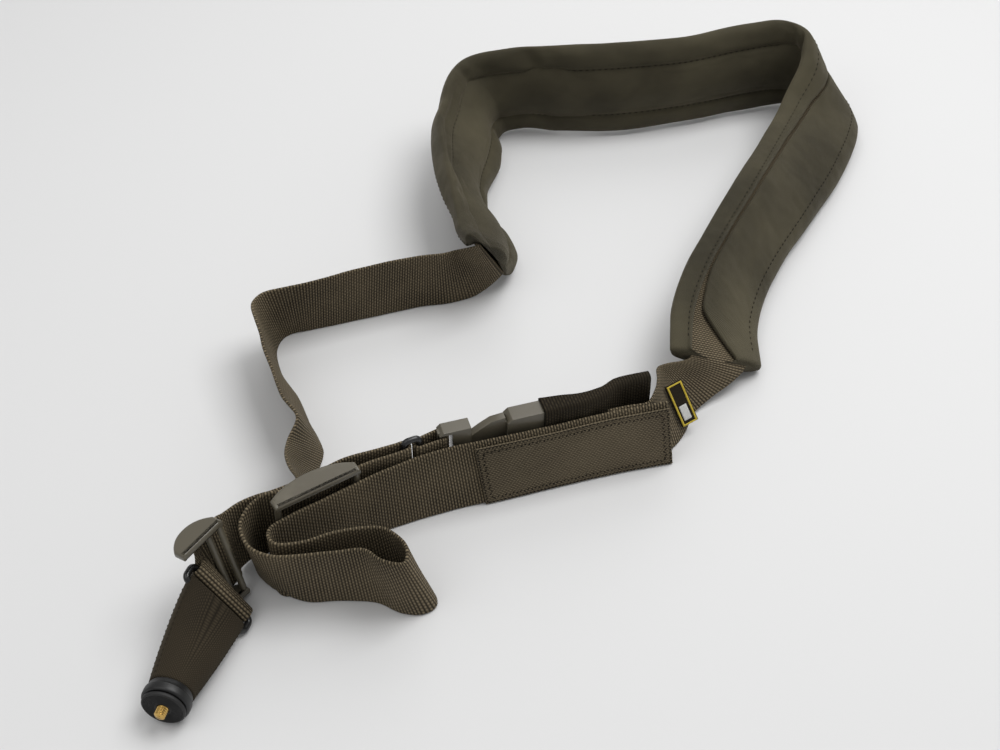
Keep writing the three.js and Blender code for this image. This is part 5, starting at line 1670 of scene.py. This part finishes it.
@dataclass
class Connector:
    """Ring, tapered cloth sleeve, and the puck with its rubber face and screw stud."""

    loop: Stand
    reach: float = CONNECTOR_REACH
    width: float = 43.0
    wall: float = 1.8
    puck_x: float = -0.3656
    puck_y: float = -0.4345
    axis_flat: tuple[float, float] = (-0.2, -0.98)
    pitch: float = 5.0
    puck_radius: float = 13.6
    puck_height: float = 9.0
    seat_radius: float = 12.3
    seat_height: float = 2.4
    stud_radius: float = 3.175
    stud_length: float = 5.5
    gap: float = 0.3

    def puck_axis(self) -> Array:
        """Direction of the stud."""
        pitch = np.radians(self.pitch)
        return np.append(unit(np.array(self.axis_flat)) * np.cos(pitch), np.sin(pitch))

    def puck_back(self) -> Array:
        """Middle of the puck's back."""
        height = self.puck_radius * np.cos(np.radians(self.pitch))
        return np.array([self.puck_x * LAY[0], self.puck_y * LAY[1], height])

    def build(self) -> None:
        """Makes the connector's pieces."""
        self.sleeve()
        self.puck()

    def sleeve_rings(self, wall: float) -> Array:
        """Rings of the sleeve from its fold round the wire to the puck.

        Each ring is a superellipse: the powers of cosine and sine go from a rounded
        rectangle at the wire to an ellipse at the puck, and its wide direction turns from
        the wire's to the puck's end.

        Args:
            wall: How far inside the outer face.

        Returns:
            Grid of places, ring by ring.
        """
        head = self.loop.point(self.reach, 0.0, 0.0)
        axis = self.puck_back() - head
        wide_end = unit(np.array([-0.87, 0.1, 0.48]))
        turn = 2 * np.pi * (np.arange(60) + 0.5) / 60
        c, s = np.cos(turn), np.sin(turn)
        rings = []
        for place, slant, wide_share, deep_share in SLEEVE_RUN:
            along = self.loop.along
            if place > 0:
                along = unit(unit(axis) * (1 - slant) + self.puck_axis() * slant)
            wide = unit(self.loop.up * (1 - slant) + wide_end * slant)
            wide = unit(wide - along * wide.dot(along))
            deep = unit(np.cross(along, wide))
            way = axis if place > 0 else along * np.linalg.norm(axis)
            half_wide = wide_share * self.width / 2 - wall
            half_deep = deep_share * (WIRE / 2 + EASE + self.wall) - wall
            power = 2 / (2 + 2 * (1 - slant))
            rings.append(head + way * place
                         + wide * (half_wide * np.sign(c) * np.abs(c) ** power)[:, None]
                         + deep * (half_deep * np.sign(s) * np.abs(s) ** power)[:, None])
        return np.array(rings)

    def sleeve(self) -> None:
        """The sleeve, hollow at the puck's end, with sewn rows down both narrow sides."""
        outer = self.curved(self.sleeve_rings(0.0), 8)
        inner = self.curved(self.sleeve_rings(self.wall)[4:], 6)[::-1]
        grid = np.concatenate([outer, inner])
        centre = grid.mean(1)
        u = np.concatenate([[0.0], np.cumsum(np.linalg.norm(np.diff(centre, axis=0), axis=1)),
                            [0.0]])
        v = np.linspace(0, 90, grid.shape[1] + 1)
        uv = np.stack(np.broadcast_arrays(u[:, None], v[None, :]), -1) * MM
        Draft().grid(grid, uv).build("connector_sleeve_cloth", SLEEVE, ("connector_sleeve",))
        seams = Draft()
        for column in (3, 26, 33, 56):
            path = outer[18:-1, column]
            stitch_rows(seams, path, unit(path - outer[18:-1].mean(1)), length=2.2, gap=0.8,
                        radius=0.28)
        seams.build("connector_sleeve_seams", STRAP_THREAD)

    @staticmethod
    def curved(rings: Array, steps: int) -> Array:
        """Rings joined by smooth curves, with steps rings between two."""
        flat = rings.reshape(len(rings), -1)
        return catmull_columns(flat, (len(rings) - 1) * steps).reshape(-1, *rings.shape[1:])

    def turned(self, profile: Array, at: float, sides: int) -> Array:
        """Turned form on the puck's axis.

        Args:
            profile: Rows of radius and height.
            at: Height of the profile's zero above the puck's back.
            sides: Places round the axis.

        Returns:
            Grid of places, row by row.
        """
        axis = self.puck_axis()
        first = unit(np.cross(axis, [0.0, 0.0, 1.0]))
        second = np.cross(axis, first)
        turn = np.linspace(0, 2 * np.pi, sides, endpoint=False)
        ring = first * np.cos(turn)[:, None] + second * np.sin(turn)[:, None]
        centre = self.puck_back() + axis * (at + profile[:, 1:2])
        return centre[:, None] + ring * profile[:, 0, None, None]

    def puck(self) -> None:
        """Puck body, its ribbed rubber face and the threaded stud."""
        radius, height = self.puck_radius, self.puck_height
        body = np.array([(0.4, 0), (radius - 2.2, 0), (radius - 1.4, 0.3), (radius - 1.0, 0.9),
                         (radius - 1.0, 2.8), (radius - 0.5, 3.5), (radius - 0.1, 4.0),
                         (radius, 4.5), (radius, height - 1.4), (radius - 0.25, height - 0.6),
                         (radius - 0.8, height - 0.1), (radius - 1.4, height),
                         (self.stud_radius + 0.5, height)])
        piece = Draft().grid(self.turned(body, self.gap, 72)).build(
            "puck_body_gloss", PUCK_GLOSS, ("puck_body",))
        soften(piece, 60)
        at = 2 * self.gap + height
        top = self.seat_height
        rows = [(self.stud_radius + 0.3, 0.0), (self.seat_radius - 0.5, 0.0),
                (self.seat_radius, 0.5), (self.seat_radius, top - 0.5),
                (self.seat_radius - 0.5, top - 0.05)]
        ribs = np.linspace(self.seat_radius - 1.0, self.stud_radius + 1.4, 33)
        wave = top - 0.35 + 0.35 * np.cos(np.arange(33) * np.pi / 2)
        rows += list(zip(ribs, wave))
        rows += [(self.stud_radius + 0.3, top - 0.1)]
        seat = Draft().grid(self.turned(np.array(rows), at, 72), loop_rows=True)
        seat.build("puck_seat_ribbed", SEAT, ("puck_seat",))
        self.stud()

    def stud(self) -> None:
        """Threaded stud: the radius follows a triangle wave of the height and the angle."""
        start = self.gap + self.puck_height - 1.4
        end = 2 * self.gap + self.puck_height + self.seat_height + self.stud_length
        length = end - start
        rows, sides, pitch = 90, 40, 1.27
        height = np.linspace(0, length, rows)
        turn = np.arange(sides) / sides
        phase = (height[:, None] / pitch - turn[None, :]) % 1
        depth = 0.62 * np.abs(2 * phase - 1)
        thread = np.clip((height[:, None] - 3.6) / 0.5, 0, 1)
        tip = np.clip((length - height[:, None]) / 0.7, 0.35, 1)
        radius = (self.stud_radius - depth * thread) * tip
        axis = self.puck_axis()
        first = unit(np.cross(axis, [0.0, 0.0, 1.0]))
        second = np.cross(axis, first)
        angle = 2 * np.pi * turn
        ring = first * np.cos(angle)[:, None] + second * np.sin(angle)[:, None]
        centre = self.puck_back() + axis * (start + height)[:, None]
        grid = centre[:, None] + ring[None] * radius[..., None]
        Draft().grid(grid).build("camera_stud_thread", BRASS, ("camera_stud",))


# ---- studio


@dataclass
class Studio:
    """Pale floor, soft light and the camera at the photograph's angle."""

    eye: tuple[float, float, float] = (-0.048848, -0.684006, 0.657331)
    tilt: float = 45.0
    lens: float = 50.0
    pale: tuple[float, float, float] = (0.665, 0.665, 0.665)

    def build(self) -> None:
        """Makes the floor, lights and camera."""
        scene = bpy.context.scene
        scene.view_settings.view_transform = "Standard"
        self.floor()
        world = bpy.data.worlds.new("Studio")
        scene.world = world
        world.use_nodes = True
        back = world.node_tree.nodes["Background"]
        back.inputs[0].default_value = (1.0, 1.0, 1.0, 1.0)
        back.inputs[1].default_value = 0.42
        for name, place, size, power in (
                ("Key", (0.6, 0.2, 1.6), 1.0, 20.0), ("Fill", (-0.7, -0.5, 1.3), 1.2, 5.0),
                ("Back", (0.1, 1.3, 1.1), 1.2, 6.0)):
            self.light(name, place, size, power)
        data = bpy.data.cameras.new("Camera")
        data.lens = self.lens
        data.sensor_width = 36.0
        data.clip_start, data.clip_end = 0.01, 50.0
        camera = bpy.data.objects.new("Camera", data)
        camera.location = self.eye
        camera.rotation_euler = (np.radians(self.tilt), 0.0, 0.0)
        scene.collection.objects.link(camera)
        scene.camera = camera

    def floor(self) -> None:
        """Wide pale sheet under the strap."""
        mesh = bpy.data.meshes.new("Floor")
        size = 12.0
        mesh.from_pydata([(-size, -size, 0), (size, -size, 0), (size, size, 0), (-size, size, 0)],
                         [], [(0, 1, 2, 3)])
        floor = bpy.data.objects.new("Floor", mesh)
        board = Board("Floor_paper")
        grain = board.noise(board.place(), 30.0, 2.0)
        mesh.materials.append(board.finish(Base_Color=self.pale, Roughness=0.9 + grain * 0.05,
                                           Specular_IOR_Level=0.1))
        bpy.context.scene.collection.objects.link(floor)

    @staticmethod
    def light(name: str, place: tuple[float, float, float], size: float, power: float) -> None:
        """Soft square light that looks at the middle of the floor.

        Args:
            name: Name of the light.
            place: Where it hangs, in metres.
            size: Side of the square.
            power: Watts.
        """
        data = bpy.data.lights.new(name, "AREA")
        data.energy = power
        data.size = size
        light = bpy.data.objects.new(name, data)
        light.location = place
        away = np.array(place)
        flat = float(np.hypot(away[0], away[1]))
        light.rotation_euler = (np.arctan2(flat, away[2]), 0.0,
                                np.arctan2(away[1], away[0]) + np.pi / 2)
        bpy.context.scene.collection.objects.link(light)


def corners(bounds: Any) -> list[list[float]]:
    """A box's two corners as plain lists."""
    return [list(corner) for corner in bounds]


def main() -> None:
    """Builds the sub-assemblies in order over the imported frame."""
    logging.basicConfig(level=logging.INFO, format="%(name)s: %(message)s")
    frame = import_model()
    Studio().build()
    long_adjuster = Adjuster("long_adjuster", -0.2219, -0.2466, 33, (0.05, -0.08), 8.4, 54,
                             middle_bar=LAYER_STEP + BAR_CLEAR)
    short_adjuster = Adjuster("short_adjuster", -0.3367, -0.3212, 236, (-0.16, 0.1), -10, 31,
                              bars=2, middle_at=-7.0)
    height = long_adjuster.stand().origin[2]
    ring = Stand.at((-0.1167 * LAY[0], -0.1957 * LAY[1], height), 27)
    lean = np.array([*LOOP_LEAN, np.sqrt(1 - LOOP_LEAN[0] ** 2 - LOOP_LEAN[1] ** 2)])
    window = LOOP_WIDTH + 4 * EASE
    lift = (window / 2 + WIRE) * lean[2] + WIRE * 0.15
    heading = float(np.degrees(np.arctan2(LOOP_WAY[1], LOOP_WAY[0])))
    loop = Stand.at((-0.325 * LAY[0], -0.3328 * LAY[1], lift), heading, lean)
    routes = Routes(long_adjuster, short_adjuster, ring, loop)
    Straps(routes).build()
    Pad(routes).build()
    Labels(routes).build()
    long_adjuster.build()
    short_adjuster.build()
    WireRing("buckle_ring", ring, routes.ring_reach, routes.ring_turn, WINDOW).build()
    WireRing("connector_ring", loop, CONNECTOR_REACH, 0.0, window).build()
    Buckle(ring, routes.ring_reach, routes.ring_turn).build(frame["nodes"])
    Connector(loop).build()


if __name__ == "__main__":
    main()
